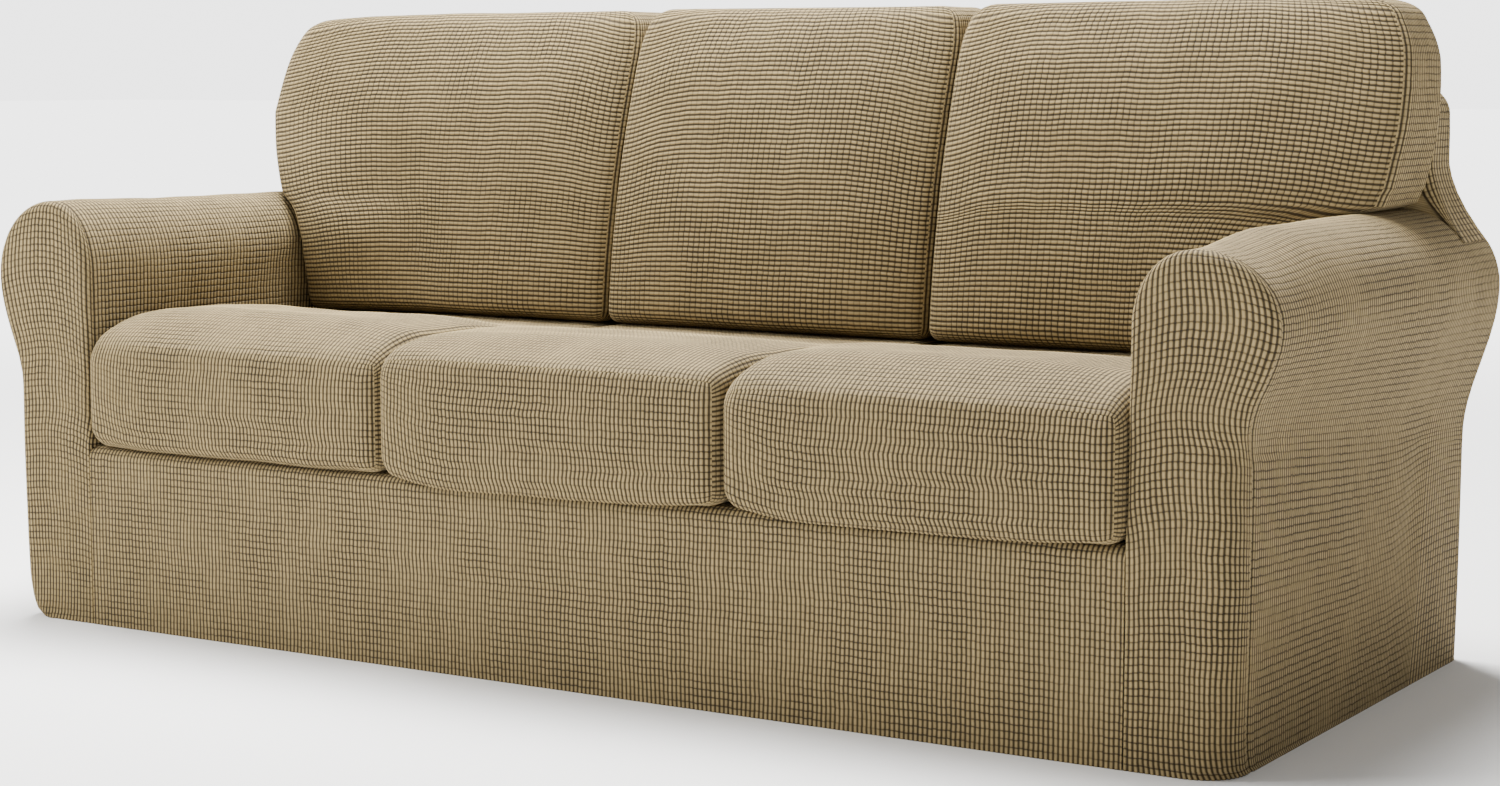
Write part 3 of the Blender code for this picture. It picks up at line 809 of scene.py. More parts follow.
@dataclass
class TurnedPanel:
    """A flat panel whose edge is turned with a radius and runs on to a seam.

    The panel is laid out flat first, its edge unrolled, and its ribs follow its two upright
    edges. Each point is then put back on the face, on the turned edge or on the strip behind it.
    """

    outline: Array
    radius: Array
    seam: Array
    upper_right: int
    upper_left: int
    face_depth: float
    turn: int

    def __post_init__(self) -> None:
        """Work out the normals and the unrolled outline."""
        self.normals = outward_normals(self.outline)
        level = self.outline[:, 1] < 1e-6
        self.normals[level, 0] = np.sign(self.normals[level, 0])
        self.normals[level, 1] = 0.0
        wide = self.radius * (math.pi / 2 - 1) + (self.seam - self.radius)
        unrolled = self.outline + self.normals * wide[:, None]
        self.right = unrolled[: self.upper_right + 1]
        self.top = unrolled[self.upper_right : self.upper_left + 1][::-1]
        self.left = unrolled[self.upper_left :][::-1]

    def laid_flat(self, a: Array, b: Array) -> Array:
        """Place points between the four edges: a from left to right, b from hem to top."""
        left, right, top = walk(self.left, b), walk(self.right, b), walk(self.top, a)
        hem = mix(self.left[0], self.right[0], a[..., None])
        a, b = a[..., None], b[..., None]
        corners = mix(hem, mix(self.left[-1], self.right[-1], a), b)
        return mix(left, right, a) + mix(hem, top, b) - corners

    def surface(self, a: Array, b: Array) -> Array:
        """Give points of the turned panel, row by row to spare memory."""
        flat = self.laid_flat(a, b).reshape(-1, 2)
        parts = [self.put_back(part) for part in np.array_split(flat, max(len(flat) // 2000, 1))]
        return np.concatenate(parts).reshape(*np.shape(a), 3)

    def put_back(self, flat: Array) -> Array:
        """Put laid-out points back where the turned panel has them."""
        start, step = self.outline[:-1], np.diff(self.outline, axis=0)
        share = ((flat[:, None] - start) * step).sum(-1) / (step**2).sum(-1)
        share = np.clip(share, 0, 1)
        nearest = start + share[..., None] * step
        gaps = np.linalg.norm(flat[:, None] - nearest, axis=-1)
        best = gaps.argmin(1)
        every = np.arange(len(flat))
        share, nearest = share[every, best], nearest[every, best]
        normal = unit(mix(self.normals[best], self.normals[best + 1], share[:, None]))
        radius = mix(self.radius[best], self.radius[best + 1], share)
        strip = mix(self.seam[best], self.seam[best + 1], share) - radius
        depth_in = -((flat - nearest) * normal).sum(-1)
        from_seam = depth_in + radius * (math.pi / 2 - 1) + strip
        angle = np.clip((from_seam - strip) / radius, 0, math.pi / 2)
        inset = radius * (1 - np.cos(angle))
        drop = radius * (1 - np.sin(angle)) + np.clip(strip - from_seam, 0, strip)
        turned = nearest - normal * inset[:, None]
        on_face = (depth_in >= radius)[:, None]
        places = np.where(on_face, flat, turned)
        drop = np.where(depth_in >= radius, 0.0, drop)
        return SOFA.place(places[:, 0], self.face_depth + self.turn * drop, places[:, 1])


# ---------------------------------------------------------------- arms


@dataclass
class ArmCover:
    """One arm's front panel and its sleeve."""

    shape: ArmShape
    rear_share: float = 0.13
    front_top: float = 2.55
    inner_top: float = 3.50
    front_counts: tuple[int, int, int] = (90, 40, 70)
    tuck: float = 0.2
    sewn: float = 0.0018
    pitch: float = 0.0076

    def front(self) -> Panel:
        """Make the keyhole panel, from the hem up round the roll and down beside the seat."""
        shape = self.shape
        ends = (0.0, self.front_top, self.inner_top, shape.FLOOR)
        runs = [np.linspace(*run) for run in zip(ends, ends[1:], self.front_counts)]
        stretch = np.concatenate([runs[0], runs[1][1:], runs[2][1:]])
        x, z = shape.section(0.0, stretch)
        z[-1] = 0.0
        x[-1] = SOFA.inner_x
        radius, seam = shape.turned_edge(stretch, z)
        corners = (len(runs[0]) - 1, len(runs[0]) + len(runs[1]) - 2)
        x = shape.side.value * x
        if shape.side is Side.LEFT:
            x, z, radius, seam = x[::-1], z[::-1], radius[::-1], seam[::-1]
            corners = tuple(len(x) - 1 - corner for corner in corners[::-1])
        outline = np.stack([x, z], -1)
        panel = TurnedPanel(outline, radius, seam, *corners, face_depth=0.0, turn=1)
        return Panel(
            node=f"arm_front_{shape.name}", surface=panel.surface,
            inside=(shape.side.value * 0.96, 0.30, 0.35), flat=(0.23, 0.68), area=0.125,
            stretches=(Stretch(1.0, self.pitch),), longest=0.022,
            sewn=(self.sewn, 0.0) if shape.side is Side.LEFT else (0.0, self.sewn), waves=0.0005,
            rests_on=[f"arm_sleeve_{shape.name}"]
        )

    def sleeve(self) -> Panel:
        """Make the cloth over the outer side, the roll and the inner face."""
        shape = self.shape
        rear = SOFA.depth - SOFA.rear_radius - SOFA.seam_strip - SOFA.gap
        front_share = 1 - self.rear_share

        def surface(a: Array, b: Array) -> Array:
            """Run a from the front seam to the rear, and b from the hem over the roll."""
            stretch = b * shape.DECK
            _, front_z = shape.section(0.0, stretch)
            _, back_z = shape.section(SOFA.depth, stretch)
            start = shape.turned_edge(stretch, front_z)[1] + SOFA.gap
            end = SOFA.inside_depth(back_z) - SOFA.gap
            depth = np.where(
                a <= front_share,
                mix(start, end, a / front_share),
                mix(end, rear, (a - front_share) / self.rear_share),
            )
            x, z = shape.section(depth, stretch)
            z = z - SOFA.cloth * smooth((stretch - (shape.DECK - self.tuck)) / self.tuck)
            return SOFA.place(shape.side.value * x, depth, z)

        def keep(a: Array, b: Array) -> Array:
            """Leave out what the back takes the place of."""
            return (a < front_share) | (b < shape.FOOT / shape.DECK)

        return Panel(
            node=f"arm_sleeve_{shape.name}", surface=surface,
            inside=(shape.side.value * 0.96, 0.40, 0.40), flat=(0.86, 1.10), area=0.80,
            stretches=(Stretch(front_share, self.pitch), Stretch(1.0, self.pitch)), samples=3,
            longest=0.040, turn=0.26, sewn=(self.sewn, 0.0), stops=(shape.FOOT / shape.DECK,),
            keep=keep, bends=(Bend(1.0, 0.10, 0.22, 0.12, shift_along=0.035),),
            rests_on=[f"arm_front_{shape.name}", "back_panel"]
        )

    def panels(self) -> list[Panel]:
        """List the arm's panels."""
        return [self.front(), self.sleeve()]


ARMS = {
    Side.LEFT: ArmShape(Side.LEFT, 0.668, 0.664, 0.546, 0.372, 0.340, 0.009, 0.016, 0.055),
    Side.RIGHT: ArmShape(Side.RIGHT, 0.656, 0.674, 0.562, 0.402, 0.335, 0.003, 0.040, 0.064),
}


# ---------------------------------------------------------------- front and deck


@dataclass
class ApronAndDeck:
    """The front panel under the seats, and the plain cloth under the seat cushions."""

    radius: float = 0.020
    pitch: float = 0.0070

    @property
    def half(self) -> float:
        """Half the width between the arms."""
        return SOFA.inner_x - SOFA.gap

    def apron(self) -> Panel:
        """Make the front panel, turned back over the deck's front edge."""
        arc = np.linspace(0, math.pi / 2, 24)
        depths = [0.0, *self.radius * (1 - np.cos(arc)), self.radius + SOFA.seam_strip]
        top = SOFA.deck_z - self.radius
        heights = [0.0, *top + self.radius * np.sin(arc), SOFA.deck_z]
        profile = np.stack([depths, heights], -1)

        def surface(a: Array, b: Array) -> Array:
            """Run a from left to right, and b from the hem up."""
            place = walk(profile, b)
            return SOFA.place(mix(-self.half, self.half, a), place[..., 0], place[..., 1])

        return Panel(
            node="apron", surface=surface, inside=(0.0, 0.4, 0.1), flat=(1.70, 0.30),
            stretches=(Stretch(1.0, self.pitch),), samples=3, waves=0.0010,
            rests_on=["arm_front_left", "arm_front_right", "seat_deck"]
        )

    def deck(self) -> Panel:
        """Make the cloth that lies on the seat base."""
        start = self.radius + SOFA.seam_strip + SOFA.gap
        end = SOFA.back_foot_depth + SOFA.cloth

        def surface(a: Array, b: Array) -> Array:
            """Run a from left to right, and b from front to back."""
            return SOFA.place(mix(-self.half, self.half, a), mix(start, end, b), SOFA.deck_z)

        return Panel(
            node="seat_deck", surface=surface, inside=(0.0, 0.4, 0.1), flat=(1.74, 0.68),
            stretches=(Stretch(1.0, self.pitch, ribbed=False, step=0.10),), longest=0.10, waves=0.0,
            rests_on=["apron", "inside_back"]
        )

    def panels(self) -> list[Panel]:
        """List the front's panels."""
        return [self.apron(), self.deck()]


# ---------------------------------------------------------------- back


@dataclass
class BackCover:
    """The back: its inside face, the band over its ends and top, and the rear panel."""

    end_x: float = 1.003
    top_z: float = 0.852
    corner: float = 0.048
    flare_top_z: float = 0.740
    flare_power: float = 1.6
    flare_seam: float = 0.68
    flare_heights: Numbers = (0.0, 0.18, 0.42, 0.68, 1.0)
    flare_radii: Numbers = (0.25, 0.40, 0.70, 1.00, 1.00)
    foot_share: float = 0.6
    foot_look: float = 0.2
    deck_gap: float = 0.001
    bows: int = 7
    turn_start: float = 0.2
    turn_end: float = 0.5

    # Points on a flare, the wall above it and the round corner; on the top; on one side of the
    # rear below the flare; and on one end of the inside
    counts: tuple[int, int, int] = (41, 10, 24)
    top_count: int = 58
    side_count: int = 59
    end_count: int = 80

    def foot(self, arm: ArmShape) -> tuple[Array, Array]:
        """Give where the end wall meets the arm at the rear, and the way from there inwards."""
        places = arm.line(SOFA.depth, np.array([arm.FOOT, arm.FOOT + self.foot_look]))
        return places[0], unit(places[1] - places[0])

    def half_outline(self, arm: ArmShape) -> tuple[Array, Array]:
        """Give one end's outline, from the flared foot up and round the top corner.

        Returns:
            The points as (X, Z), and each one's share of the flare's height.
        """
        foot, inwards = self.foot(arm)
        foot = foot + inwards * 2 * SOFA.gap
        flare, wall, corner = self.counts
        share = np.linspace(0, 1, flare)
        x = mix(self.end_x, foot[0], (1 - share) ** self.flare_power)
        z = mix(foot[1], self.flare_top_z, share)
        wall_z = np.linspace(self.flare_top_z, self.top_z - self.corner, wall + 2)[1:-1]
        turn = np.linspace(0, math.pi / 2, corner)
        corner_x = self.end_x - self.corner + self.corner * np.cos(turn)
        corner_z = self.top_z - self.corner + self.corner * np.sin(turn)
        x = np.concatenate([x, 0 * wall_z + self.end_x, corner_x])
        points = np.stack([x, np.concatenate([z, wall_z, corner_z])], -1)
        return points, np.concatenate([share, np.ones(wall + corner)])

    def rim(self) -> tuple[Array, Array, Array]:
        """Give the whole way over the back, up on the right and down on the left.

        Returns:
            The points as (X, Z), the shares of the flares' height, and the sign of each side.
        """
        right, right_share = self.half_outline(ARMS[Side.RIGHT])
        left, left_share = self.half_outline(ARMS[Side.LEFT])
        across = self.end_x - self.corner
        top = np.linspace(across, -across, self.top_count + 2)[1:-1]
        points = np.concatenate(
            [right, np.stack([top, 0 * top + self.top_z], -1), (left * [-1, 1])[::-1]]
        )
        shares = np.concatenate([right_share, np.ones(len(top)), left_share[::-1]])
        return points, shares, np.where(points[:, 0] > 0, 1.0, -1.0)

    def band(self) -> Panel:
        """Make the strip over the ends and the top, turned over its front edge."""
        edge, shares, sides = self.rim()
        out = outward_normals(edge)
        inset = edge - out * (SOFA.rear_radius + SOFA.seam_strip)
        rise = np.minimum(shares / self.flare_seam, 1.0)[:, None]
        radius = SOFA.rear_radius * np.interp(shares, self.flare_heights, self.flare_radii)
        inner = inset.copy()
        bows = np.zeros((self.bows, *edge.shape))
        steps = np.linspace(0, 1, len(bows))
        for side, arm in ARMS.items():
            own = (sides == side.value) & (shares < self.flare_seam)
            seam = inset[(sides == side.value) & (shares >= self.flare_seam)]
            seam = seam[0] if side is Side.RIGHT else seam[-1]
            crown = np.array([side.value * SOFA.crown_x, arm.crown(SOFA.depth) + SOFA.gap])
            inner[own] = mix(crown, seam, rise[own])
            foot, inwards = self.foot(arm)
            turned = np.array([-side.value * inwards[0], -inwards[1]])
            out[own] = unit(mix(turned, out[own], rise[own]))
            start = foot + inwards * SOFA.rear_radius * self.flare_radii[0]
            lying = stood_off(arm.line(SOFA.depth, arm.CROWN - self.foot_share * steps), SOFA.gap)
            straight = mix(lying[0], start, steps[:, None])
            bow = (lying - straight) * [side.value, 1]
            bow[-1] = 0.0
            bows[:, own] = bow[:, None] * (1 - rise[own])[None]
        front = edge - out * radius[:, None]
        rear = SOFA.depth - SOFA.rear_radius - SOFA.seam_strip - SOFA.gap
        walked = lengths_along(edge) / lengths_along(edge)[-1]

        def at(values: Array, b: Array) -> Array:
            """Read values kept along the rim at shares of its length."""
            if values.ndim == 1:
                return np.interp(b, walked, values)
            return np.stack([np.interp(b, walked, values[:, k]) for k in range(2)], -1)

        def surface(a: Array, b: Array) -> Array:
            """Run a from the inside back to the rear, and b round the rim."""
            strip = np.clip(a / self.turn_start, 0, 1)[..., None]
            places = mix(at(inner, b), at(front, b), strip) + sum(
                at(bow, b) * np.clip(1 - np.abs(strip * (self.bows - 1) - k), 0, 1)
                for k, bow in enumerate(bows)
            )
            turned_share = (a - self.turn_start) / (self.turn_end - self.turn_start)
            angle = np.clip(turned_share, 0, 1) * math.pi / 2
            ring = at(radius, b)
            turned = at(edge, b) - at(out, b) * (ring * (1 - np.sin(angle)))[..., None]
            places = np.where((a > self.turn_start)[..., None], turned, places)
            drop = ring * (1 - np.cos(angle))
            depth = SOFA.inside_depth(places[..., 1]) + drop
            depth = mix(depth, rear, np.clip((a - self.turn_end) / (1 - self.turn_end), 0, 1))
            return SOFA.place(places[..., 0], depth, places[..., 1])

        return Panel(
            node="back_band", surface=surface, inside=(0.0, 0.80, 0.55), flat=(2.35, 0.10),
            stretches=(Stretch(1.0, 0.0078),), longest=0.026, turn=0.16, waves=0.0004,
            rests_on=["inside_back", "back_panel"]
        )

    def rear(self) -> Panel:
        """Make the rear panel, from the hem up past the rolls and the flares to the top."""
        rim, _, _ = self.rim()
        stretch = np.linspace(0, ArmShape.FOOT, self.side_count + 1)[:-1]
        left, right = (
            arm.line(SOFA.depth, stretch) * [side.value, 1] for side, arm in ARMS.items()
        )
        outline = np.concatenate([right, rim, left[::-1]])

        # The ribs' two upright edges end in the middle of the round corners
        upper_right = self.side_count + sum(self.counts) - self.counts[2] // 2
        upper_left = len(outline) - 1 - upper_right
        radius = np.full(len(outline), SOFA.rear_radius)
        seam = radius + SOFA.seam_strip
        panel = TurnedPanel(outline, radius, seam, upper_right, upper_left, SOFA.depth, -1)
        return Panel(
            node="back_panel", surface=panel.surface, inside=(0.0, 0.50, 0.40), flat=(2.10, 0.86),
            area=1.62, stretches=(Stretch(1.0, 0.0080),), samples=2, longest=0.050, waves=0.0012,
            rests_on=["back_band", "arm_sleeve_left", "arm_sleeve_right"]
        )

    def inside(self) -> Panel:
        """Make the plain inside back, between the arms and up to the band."""
        edge, shares, sides = self.rim()
        inset = edge - outward_normals(edge) * (SOFA.rear_radius + SOFA.seam_strip + SOFA.gap)
        share = np.linspace(0, 1, self.end_count)
        ends = {}
        for side, arm in ARMS.items():
            face = arm.line(SOFA.depth, np.linspace(arm.DECK - self.deck_gap, arm.CROWN, 30))
            wall = inset[(sides == side.value) & (shares >= self.flare_seam)]
            wall = wall if side is Side.RIGHT else wall[::-1]
            wall = np.abs(wall[: (self.half_outline(arm)[1] >= self.flare_seam).sum()])
            ends[side] = walk(np.concatenate([stood_off(face, SOFA.gap), wall]), share)

        def surface(a: Array, b: Array) -> Array:
            """Run a from left to right, and b from the deck up."""
            left, right = (
                np.stack([np.interp(b, share, ends[side][:, k]) for k in range(2)], -1)
                for side in (Side.LEFT, Side.RIGHT)
            )
            z = np.maximum(mix(left[..., 1], right[..., 1], a), SOFA.deck_z + 2 * SOFA.gap)
            return SOFA.place(mix(-left[..., 0], right[..., 0], a), SOFA.inside_depth(z), z)

        return Panel(
            node="inside_back", surface=surface, inside=(0.0, 0.86, 0.50), flat=(1.84, 0.55),
            stretches=(Stretch(1.0, ribbed=False),), longest=0.05, waves=0.0,
            rests_on=["seat_deck", "back_band"]
        )

    def panels(self) -> list[Panel]:
        """List the back's panels."""
        return [self.inside(), self.band(), self.rear()]


# ---------------------------------------------------------------- cushion covers


def rounded(cube: Array, half: Array, radius: Array) -> Array:
    """Move points of a cube onto a box with rounded edges.

    Args:
        cube: Points on the cube from -1 to 1, coordinates last.
        half: The box's half sizes.
        radius: Radius of its edges at each point.

    Returns:
        The moved points, still in the cube's units.
    """
    full = cube * half
    radius = np.asarray(radius)[..., None]
    core = np.clip(full, -(half - radius), half - radius)
    return (core + unit(full - core) * radius) / half


def open_loop(under: float) -> Array:
    """Give a square from -1 to 1, gone round from below on the left, open in the middle below."""
    return np.array([[-under, -1], [-1, -1], [-1, 1], [1, 1], [1, -1], [under, -1]], float)


@dataclass
class SeatCushionCover:
    """One seat cushion's cover: a front panel, and a wrap over its top, sides and rear."""

    number: int
    front: float
    hang: float
    edge_z: float
    crown: float
    rear: float = 0.702
    crown_depth: float = 0.130
    crown_lead: float = 0.005
    sink_z: float = 0.4628
    sink_start: float = 0.20
    sink_length: float = 0.30
    side_drop: float = 0.35
    radius: float = 0.018
    top_radius: float = 0.011
    left_radius: float = 0.034
    right_radius: float = 0.027
    side_start: float = 0.5
    swell: float = 0.010
    hang_depth: float = -0.004
    hang_blend: float = 0.010
    hang_middle: float = 0.7
    hang_lean: float = 0.3
    pitch: float = 0.0070
    shrink: float = 0.90
    closed: float = 0.95

    @property
    def half(self) -> Array:
        """Half sizes of the cover's box."""
        height = self.edge_z - SOFA.deck_z - SOFA.gap
        return np.array([SOFA.cover_pitch - SOFA.gap, self.rear - self.front, height]) / 2

    @property
    def middle(self) -> Array:
        """Middle of the cover's box, as X, depth and Z."""
        half = self.half
        x = (self.number - 2) * SOFA.cover_pitch
        return np.array([x, self.front + half[1], SOFA.deck_z + SOFA.gap + half[2]])

    def shape(self, cube: Array) -> Array:
        """Put points of a cube on the cushion, with its crown and its hanging front edge."""
        corner = np.where(cube[..., 0] > 0, self.right_radius, self.left_radius)
        near = smooth((np.abs(cube[..., 0]) - self.side_start) / (1 - self.side_start))
        front = mix(mix(self.radius, self.top_radius, smooth(cube[..., 2])), corner, near)
        radius = mix(self.radius, front, smooth(-cube[..., 1]))
        place = rounded(cube, self.half, radius)
        px, py, pz = np.moveaxis(place, -1, 0)
        x, depth, z = np.moveaxis(self.middle + place * self.half, -1, 0)
        behind = depth - self.front + self.crown_lead
        rise = 1 - (1 - np.minimum(behind / self.crown_depth, 1)) ** 2
        sunk = smooth((depth - self.sink_start) / self.sink_length)
        crown = mix(self.crown, self.sink_z - self.edge_z, sunk)
        crown = crown * rise * (1 - self.side_drop * np.abs(px) ** 6)
        swell = self.swell * (1 - px**4) * (1 - pz**2) * np.maximum(-py, 0)
        hang = self.hang * (1 - px**6) * (self.hang_middle - self.hang_lean * px)
        hang = hang * smooth((self.hang_depth - depth) / self.hang_blend) * np.maximum(-pz, 0)
        return SOFA.place(x, depth - swell, z + crown * np.maximum(pz, 0) - hang)

    def front_panel(self) -> Panel:
        """Make the front panel, down to its edge turned under the cushion."""
        _, deep, high = self.half
        profile = [[-1.0, 1.0], [-1.0, -1.0], [-1 + SOFA.turn_under / deep, -1.0]]
        metric = np.array(profile) * [deep, high]

        def surface(a: Array, b: Array) -> Array:
            """Run a from left to right, and b from the top seam down and under."""
            place = walk(metric, b) / [deep, high]
            cube = np.stack([2 * a - 1, place[..., 0], place[..., 1]], -1)
            return self.shape(cube)

        return Panel(
            node=f"seat_front_{self.number}",
            surface=surface,
            inside=(self.middle[0], 0.25, 0.37),
            flat=(0.57, 0.19),
            stretches=(Stretch(1.0, self.pitch),),
            longest=0.022,
            turn=0.24,
            bends=(
                Bend(0.0, 0.45, 0.13, 0.40, shift_along=-0.10),
                Bend(0.04, 0.85, 0.12, 0.25, shift_across=0.020),
            ),
            rests_on=[f"seat_wrap_{self.number}"],
        )

    def wrap(self) -> Panel:
        """Make the piece over the top and the sides, closed behind, with its ribs front to back."""
        wide, _, high = self.half
        metric = open_loop(1 - SOFA.turn_under / wide) * [wide, high]

        def surface(a: Array, b: Array) -> Array:
            """Run a from the lower left over the top, and b from the front seam back."""
            x, z = np.moveaxis(walk(metric, a) / [wide, high], -1, 0)
            small = 1 - self.closed * np.clip((b - self.shrink) / (1 - self.shrink), 0, 1)
            depth = np.clip(2 * b / self.shrink - 1, -1, 1)
            return self.shape(np.stack([x * small, depth, -1 + (z + 1) * small], -1))

        return Panel(
            node=f"seat_wrap_{self.number}", surface=surface, inside=(self.middle[0], 0.35, 0.37),
            flat=(0.95, 0.92), area=0.80, stretches=(Stretch(1.0, self.pitch),), samples=3,
            longest=0.040, turn=0.30, stops=(self.shrink,),
            rests_on=["seat_deck", f"seat_front_{self.number}"]
        )

    def panels(self) -> list[Panel]:
        """List the cover's panels."""
        return [self.front_panel(), self.wrap()]


# Outer sides of the outer back covers over the arms: height above the arm's crown, and X
EARS = {
    Side.LEFT: ((0.003, 0.946), (0.011, 0.951), (0.036, 0.966), (0.071, 0.980), (0.136, 1.003)),
    Side.RIGHT: ((0.003, 0.975), (0.010, 0.995), (0.034, 1.003)),
}


@dataclass
class BackCushionCover:
    """One back cushion's cover: one piece over front, top and rear, and a gusset at each side."""

    number: int
    top_z: float
    left_drop: float
    belly: float
    corner: float
    forward: float = 0.0
    rest_z: float = 0.4642
    radius: float = 0.022
    bulge: float = 0.034
    bulge_power_up: int = 4
    bulge_power_down: int = 24
    corner_z: float = 0.085
    corner_x: float = 0.030
    corner_rear: float = 0.022
    front_curve: Triple = (0.568, 0.034, 0.088)
    half_depth: float = 0.075
    arm_gap: float = 0.002
    belly_z: float = 0.700
    belly_rise: float = 0.24
    forward_start: float = 0.2
    forward_foot: float = 0.6
    forward_full: float = 0.3
    forward_fade: float = 0.75
    forward_top: float = 0.53
    rear_shows: float = 0.30
    gusset_flat: float = 0.13
    pitch: float = 0.0080

    @property
    def half(self) -> Array:
        """Half sizes of the cube's box; the true depth comes from the faces' own curves."""
        return np.array([(SOFA.cover_pitch - SOFA.gap) / 2, 0.1, (self.top_z - self.rest_z) / 2])

    @property
    def middle_x(self) -> float:
        """X of the cover's middle."""
        return (self.number - 2) * SOFA.cover_pitch

    def reach(self, side: Side, z: Array) -> Array:
        """Give how far the cover reaches to one side at a height."""
        half = self.half[0]
        if side.value * self.middle_x <= 0:
            return 0 * z + half
        arm = ARMS[side]
        inner = arm.line(SOFA.depth, np.linspace(arm.SHOULDER, arm.CROWN + 0.25, 40))
        x, edge_z = stood_off(inner, self.arm_gap).T
        crown = arm.crown(SOFA.depth)
        heights = [*edge_z, *(crown + up for up, _ in EARS[side])]
        reaches = [*x, *(x for _, x in EARS[side])]
        edge = abs(self.middle_x) + half
        return half + np.maximum(np.interp(z, heights, reaches) - edge, 0)

    def shape(self, cube: Array) -> Array:
        """Put points of a cube on the leaning, bulging cushion."""
        place = rounded(cube, self.half, self.radius)
        px, py, pz = np.moveaxis(place, -1, 0)
        t = (pz + 1) / 2
        z = mix(self.rest_z, self.top_z, t)
        corner = np.clip((z - self.top_z) / self.corner_z + 1, 0, 1)
        z = z - self.left_drop * np.maximum(-px, 0) ** 3 * smooth((t - 0.5) / 0.5)
        power = np.where(pz > 0, self.bulge_power_up, self.bulge_power_down)
        bulge = self.bulge * (1 - px**4) * (1 - np.abs(pz) ** power)
        outer = np.maximum(px * self.middle_x, 0) / SOFA.cover_pitch
        forward = smooth((outer - self.forward_start) / (1 - self.forward_start))
        forward = forward * mix(self.forward_foot, 1.0, smooth(t / self.forward_full))
        fade = smooth((self.forward_fade - t) / (self.forward_fade - self.forward_full))
        forward = forward * mix(self.forward_top, 1.0, fade)
        foot, lean, curl = self.front_curve
        front = foot + lean * t + curl * t * t - bulge - self.forward * forward
        rear = SOFA.inside_depth(z) - SOFA.gap - self.corner_rear * outer**4 * corner
        depth = mix(front, rear, (py + 1) / 2)
        swing = np.sin(math.pi * np.clip((z - self.belly_z) / self.belly_rise, 0, 1))
        cut = mix(self.corner_x, self.corner, outer) * (1 - np.sqrt(1 - corner**2))
        reach = np.where(px > 0, self.reach(Side.RIGHT, z), self.reach(Side.LEFT, z))
        reach = reach + self.belly * outer * swing - cut
        return SOFA.place(self.middle_x + px * reach, depth, z)

    def front_panel(self) -> Panel:
        """Make the piece over the front, the top and the rear, with its ribs from side to side."""
        _, deep, high = self.half
        metric = open_loop(1 - SOFA.turn_under / deep) * [self.half_depth, high]
        walked = lengths_along(metric)
        walked /= walked[-1]

        def surface(a: Array, b: Array) -> Array:
            """Run a from under the front up, over and down behind, and b from left to right."""
            place = walk(metric, a) / [self.half_depth, high]
            cube = np.stack([2 * b - 1, place[..., 0], place[..., 1]], -1)
            return self.shape(cube)

        return Panel(
            node=f"back_front_{self.number}",
            surface=surface,
            inside=(self.middle_x, 0.66, 0.70),
            flat=(0.60, 1.12),
            stretches=(
                Stretch(float(mix(walked[3], walked[4], self.rear_shows)), self.pitch),
                Stretch(1.0, self.pitch, ribbed=False, step=0.03),
            ),
            turn=0.21,
            bends=(
                Bend(0.30, 0.0, 0.26, 0.15, shift_across=-0.024),
                Bend(0.34, 1.0, 0.24, 0.13, shift_across=-0.017),
            ),
            rests_on=["inside_back", f"seat_wrap_{self.number}"],
        )

    def gusset(self, side: Side) -> Panel:
        """Make one side's narrow panel, its ribs along its length."""

        def surface(a: Array, b: Array) -> Array:
            """Run a from front to rear, and b from the foot up."""
            cube = np.stack([0 * a + side.value, 2 * a - 1, 2 * b - 1], -1)
            return self.shape(cube)

        return Panel(
            node=f"back_side_{self.number}_{side.name.lower()}", surface=surface,
            inside=(self.middle_x, 0.66, 0.70),
            flat=(self.gusset_flat + self.forward * (side is Side.LEFT), 0.50),
            stretches=(Stretch(1.0, self.pitch),), longest=0.026, turn=0.24, waves=0.0004,
            rests_on=[f"back_front_{self.number}"]
        )

    def panels(self) -> list[Panel]:
        """List the cover's panels."""
        return [self.front_panel(), self.gusset(Side.LEFT), self.gusset(Side.RIGHT)]


# ---------------------------------------------------------------- room


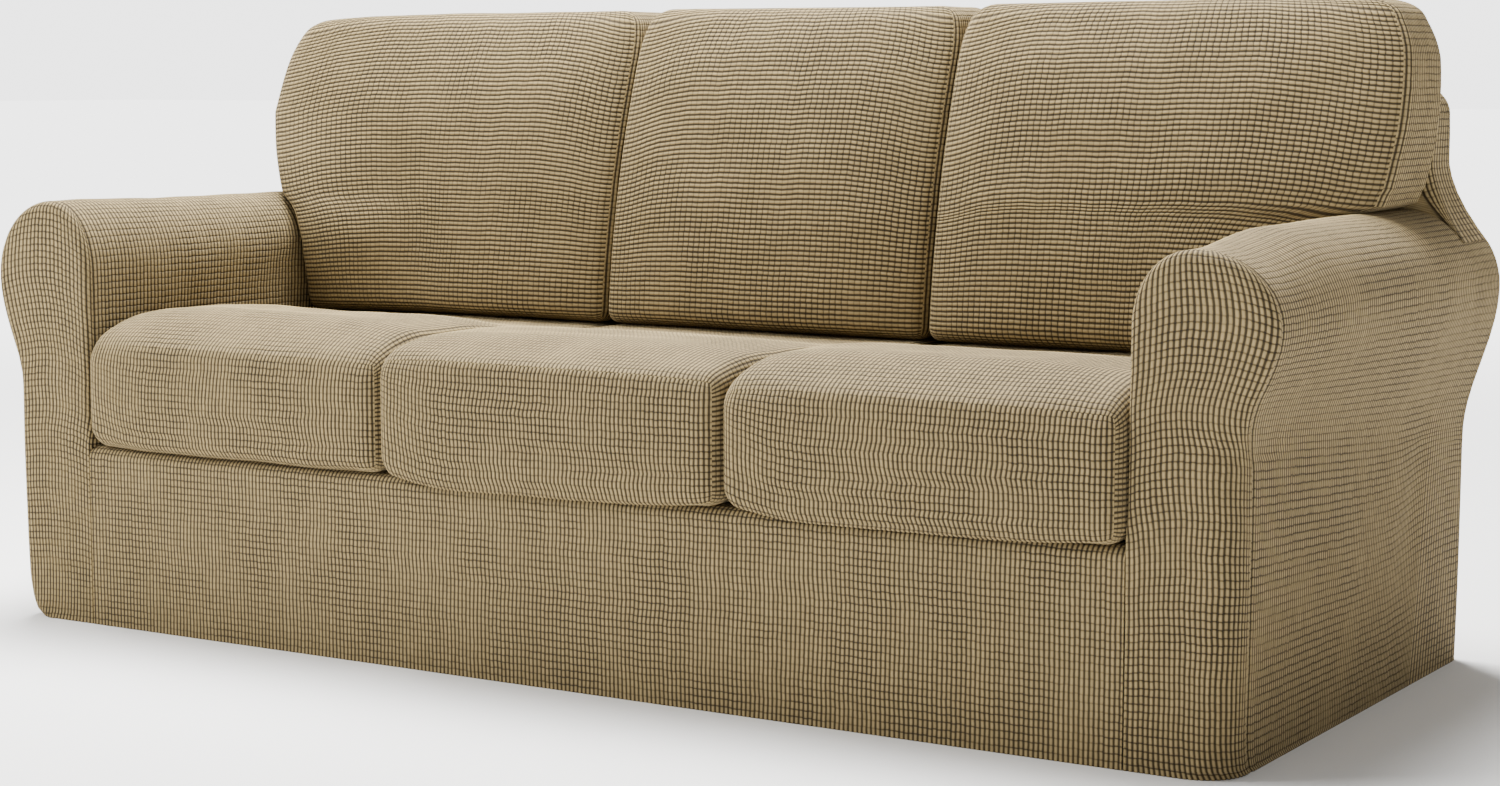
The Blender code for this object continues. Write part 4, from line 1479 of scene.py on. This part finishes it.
@dataclass
class Studio:
    """A pale floor, soft light from large panels, and the camera."""

    floor_hex: str = "#F4F3F1"
    camera_place: Triple = (2.3176, -3.5937, 0.8714)
    camera_yaw: float = 31.99
    camera_pitch: float = 6.54
    focal_pixels: float = 2808.0
    image_width: float = 1500.0
    sensor: float = 36.0
    air: float = 0.44
    horizon: float = 3.4
    floor_roughness: float = 0.95
    floor_size: float = 60.0
    floor_fade: Pair = (1.6, 6.5)
    air_fade: Pair = (0.03, 0.07)

    WHITE: ClassVar[Numbers] = (1.0, 1.0, 1.0, 1.0)
    # Name, place, size, power and aim of each square soft light
    LIGHTS: ClassVar[tuple] = (
        ("key_light", (-2.4, -2.5, 2.3), 1.6, 138.0, (-0.6, 0.0, 0.4)),
        ("top_light", (-0.8, 0.8, 3.7), 2.4, 760.0, (0.0, 0.1, 0.4)),
    )

    def floor(self) -> None:
        """Lay the floor."""
        material = bpy.data.materials.new("matt_studio_paper")
        material.use_nodes = True
        tree = material.node_tree
        shader = tree.nodes["Principled BSDF"]
        shader.inputs["Base Color"].default_value = linear(self.floor_hex)
        shader.inputs["Roughness"].default_value = self.floor_roughness

        # Far from the sofa the paper is lit until it meets the air behind it
        place = add_node(tree, "ShaderNodeTexCoord").outputs["Object"]
        settings = {"operation": "LENGTH"}
        away = add_node(tree, "ShaderNodeVectorMath", settings, {0: place}).outputs["Value"]
        lit = ramp(tree, away, *self.floor_fade, 0.0, self.horizon)
        tree.links.new(lit, shader.inputs["Emission Strength"])
        shader.inputs["Emission Color"].default_value = self.WHITE
        mesh = bmesh.new()
        bmesh.ops.create_grid(mesh, x_segments=1, y_segments=1, size=self.floor_size)
        add_object("studio_floor", mesh_data("studio_floor", mesh, material))

    def lamp(
        self, name: str, place: Sequence[float], size: float, power: float, aim: Sequence[float]
    ) -> None:
        """Hang a square soft light that looks at a point."""
        data = bpy.data.lights.new(name, "AREA")
        data.shape = "SQUARE"
        data.size = size
        data.energy = power
        lamp = add_object(name, data)
        lamp.location = place
        way = Vector(aim) - Vector(place)
        lamp.rotation_euler = way.to_track_quat("-Z", "Y").to_euler()

    def camera(self) -> None:
        """Set up the camera at the photograph's angle."""
        data = bpy.data.cameras.new("camera")
        data.sensor_width = self.sensor
        data.lens = self.focal_pixels * self.sensor / self.image_width
        camera = add_object("camera", data)
        camera.location = self.camera_place
        turns = (90 - self.camera_pitch, 0.0, self.camera_yaw)
        camera.rotation_euler = [math.radians(turn) for turn in turns]
        bpy.context.scene.camera = camera

    def build(self) -> None:
        """Set up the whole room, with air that is brighter at the horizon."""
        self.floor()
        world = bpy.data.worlds.new("studio_air")
        world.use_nodes = True
        tree = world.node_tree
        back = tree.nodes["Background"]
        back.inputs["Color"].default_value = self.WHITE
        way = add_node(tree, "ShaderNodeTexCoord").outputs["Generated"]
        height = add_node(tree, "ShaderNodeSeparateXYZ", {}, {0: way}).outputs[2]
        rise = add_node(tree, "ShaderNodeMath", {"operation": "ABSOLUTE"}, {0: height}).outputs[0]
        strength = ramp(tree, rise, *self.air_fade, self.horizon, self.air)
        tree.links.new(strength, back.inputs["Strength"])
        bpy.context.scene.world = world
        for light in self.LIGHTS:
            self.lamp(*light)
        self.camera()


def main() -> None:
    """Load the frame, dress every panel and set up the room."""
    logging.basicConfig(level=logging.INFO, format="%(message)s", stream=sys.stdout)
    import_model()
    finish = JACQUARD.material("ribbed_stretch_jacquard")
    covers = [
        ArmCover(ARMS[Side.LEFT]),
        ArmCover(ARMS[Side.RIGHT]),
        ApronAndDeck(),
        BackCover(),
        SeatCushionCover(1, front=-0.012, hang=0.005, edge_z=0.446, crown=0.054),
        SeatCushionCover(2, front=-0.022, hang=0.016, edge_z=0.460, crown=0.032),
        SeatCushionCover(3, front=-0.022, hang=0.012, edge_z=0.450, crown=0.047),
        BackCushionCover(1, top_z=0.970, left_drop=0.012, belly=0.015, corner=0.036, forward=0.085),
        BackCushionCover(2, top_z=0.972, left_drop=0.000, belly=0.000, corner=0.030),
        BackCushionCover(3, top_z=0.975, left_drop=0.002, belly=0.014, corner=0.050),
    ]
    for cover in covers:
        for panel in cover.panels():
            panel.build(finish)
    Studio().build()


if __name__ == "__main__":
    main()
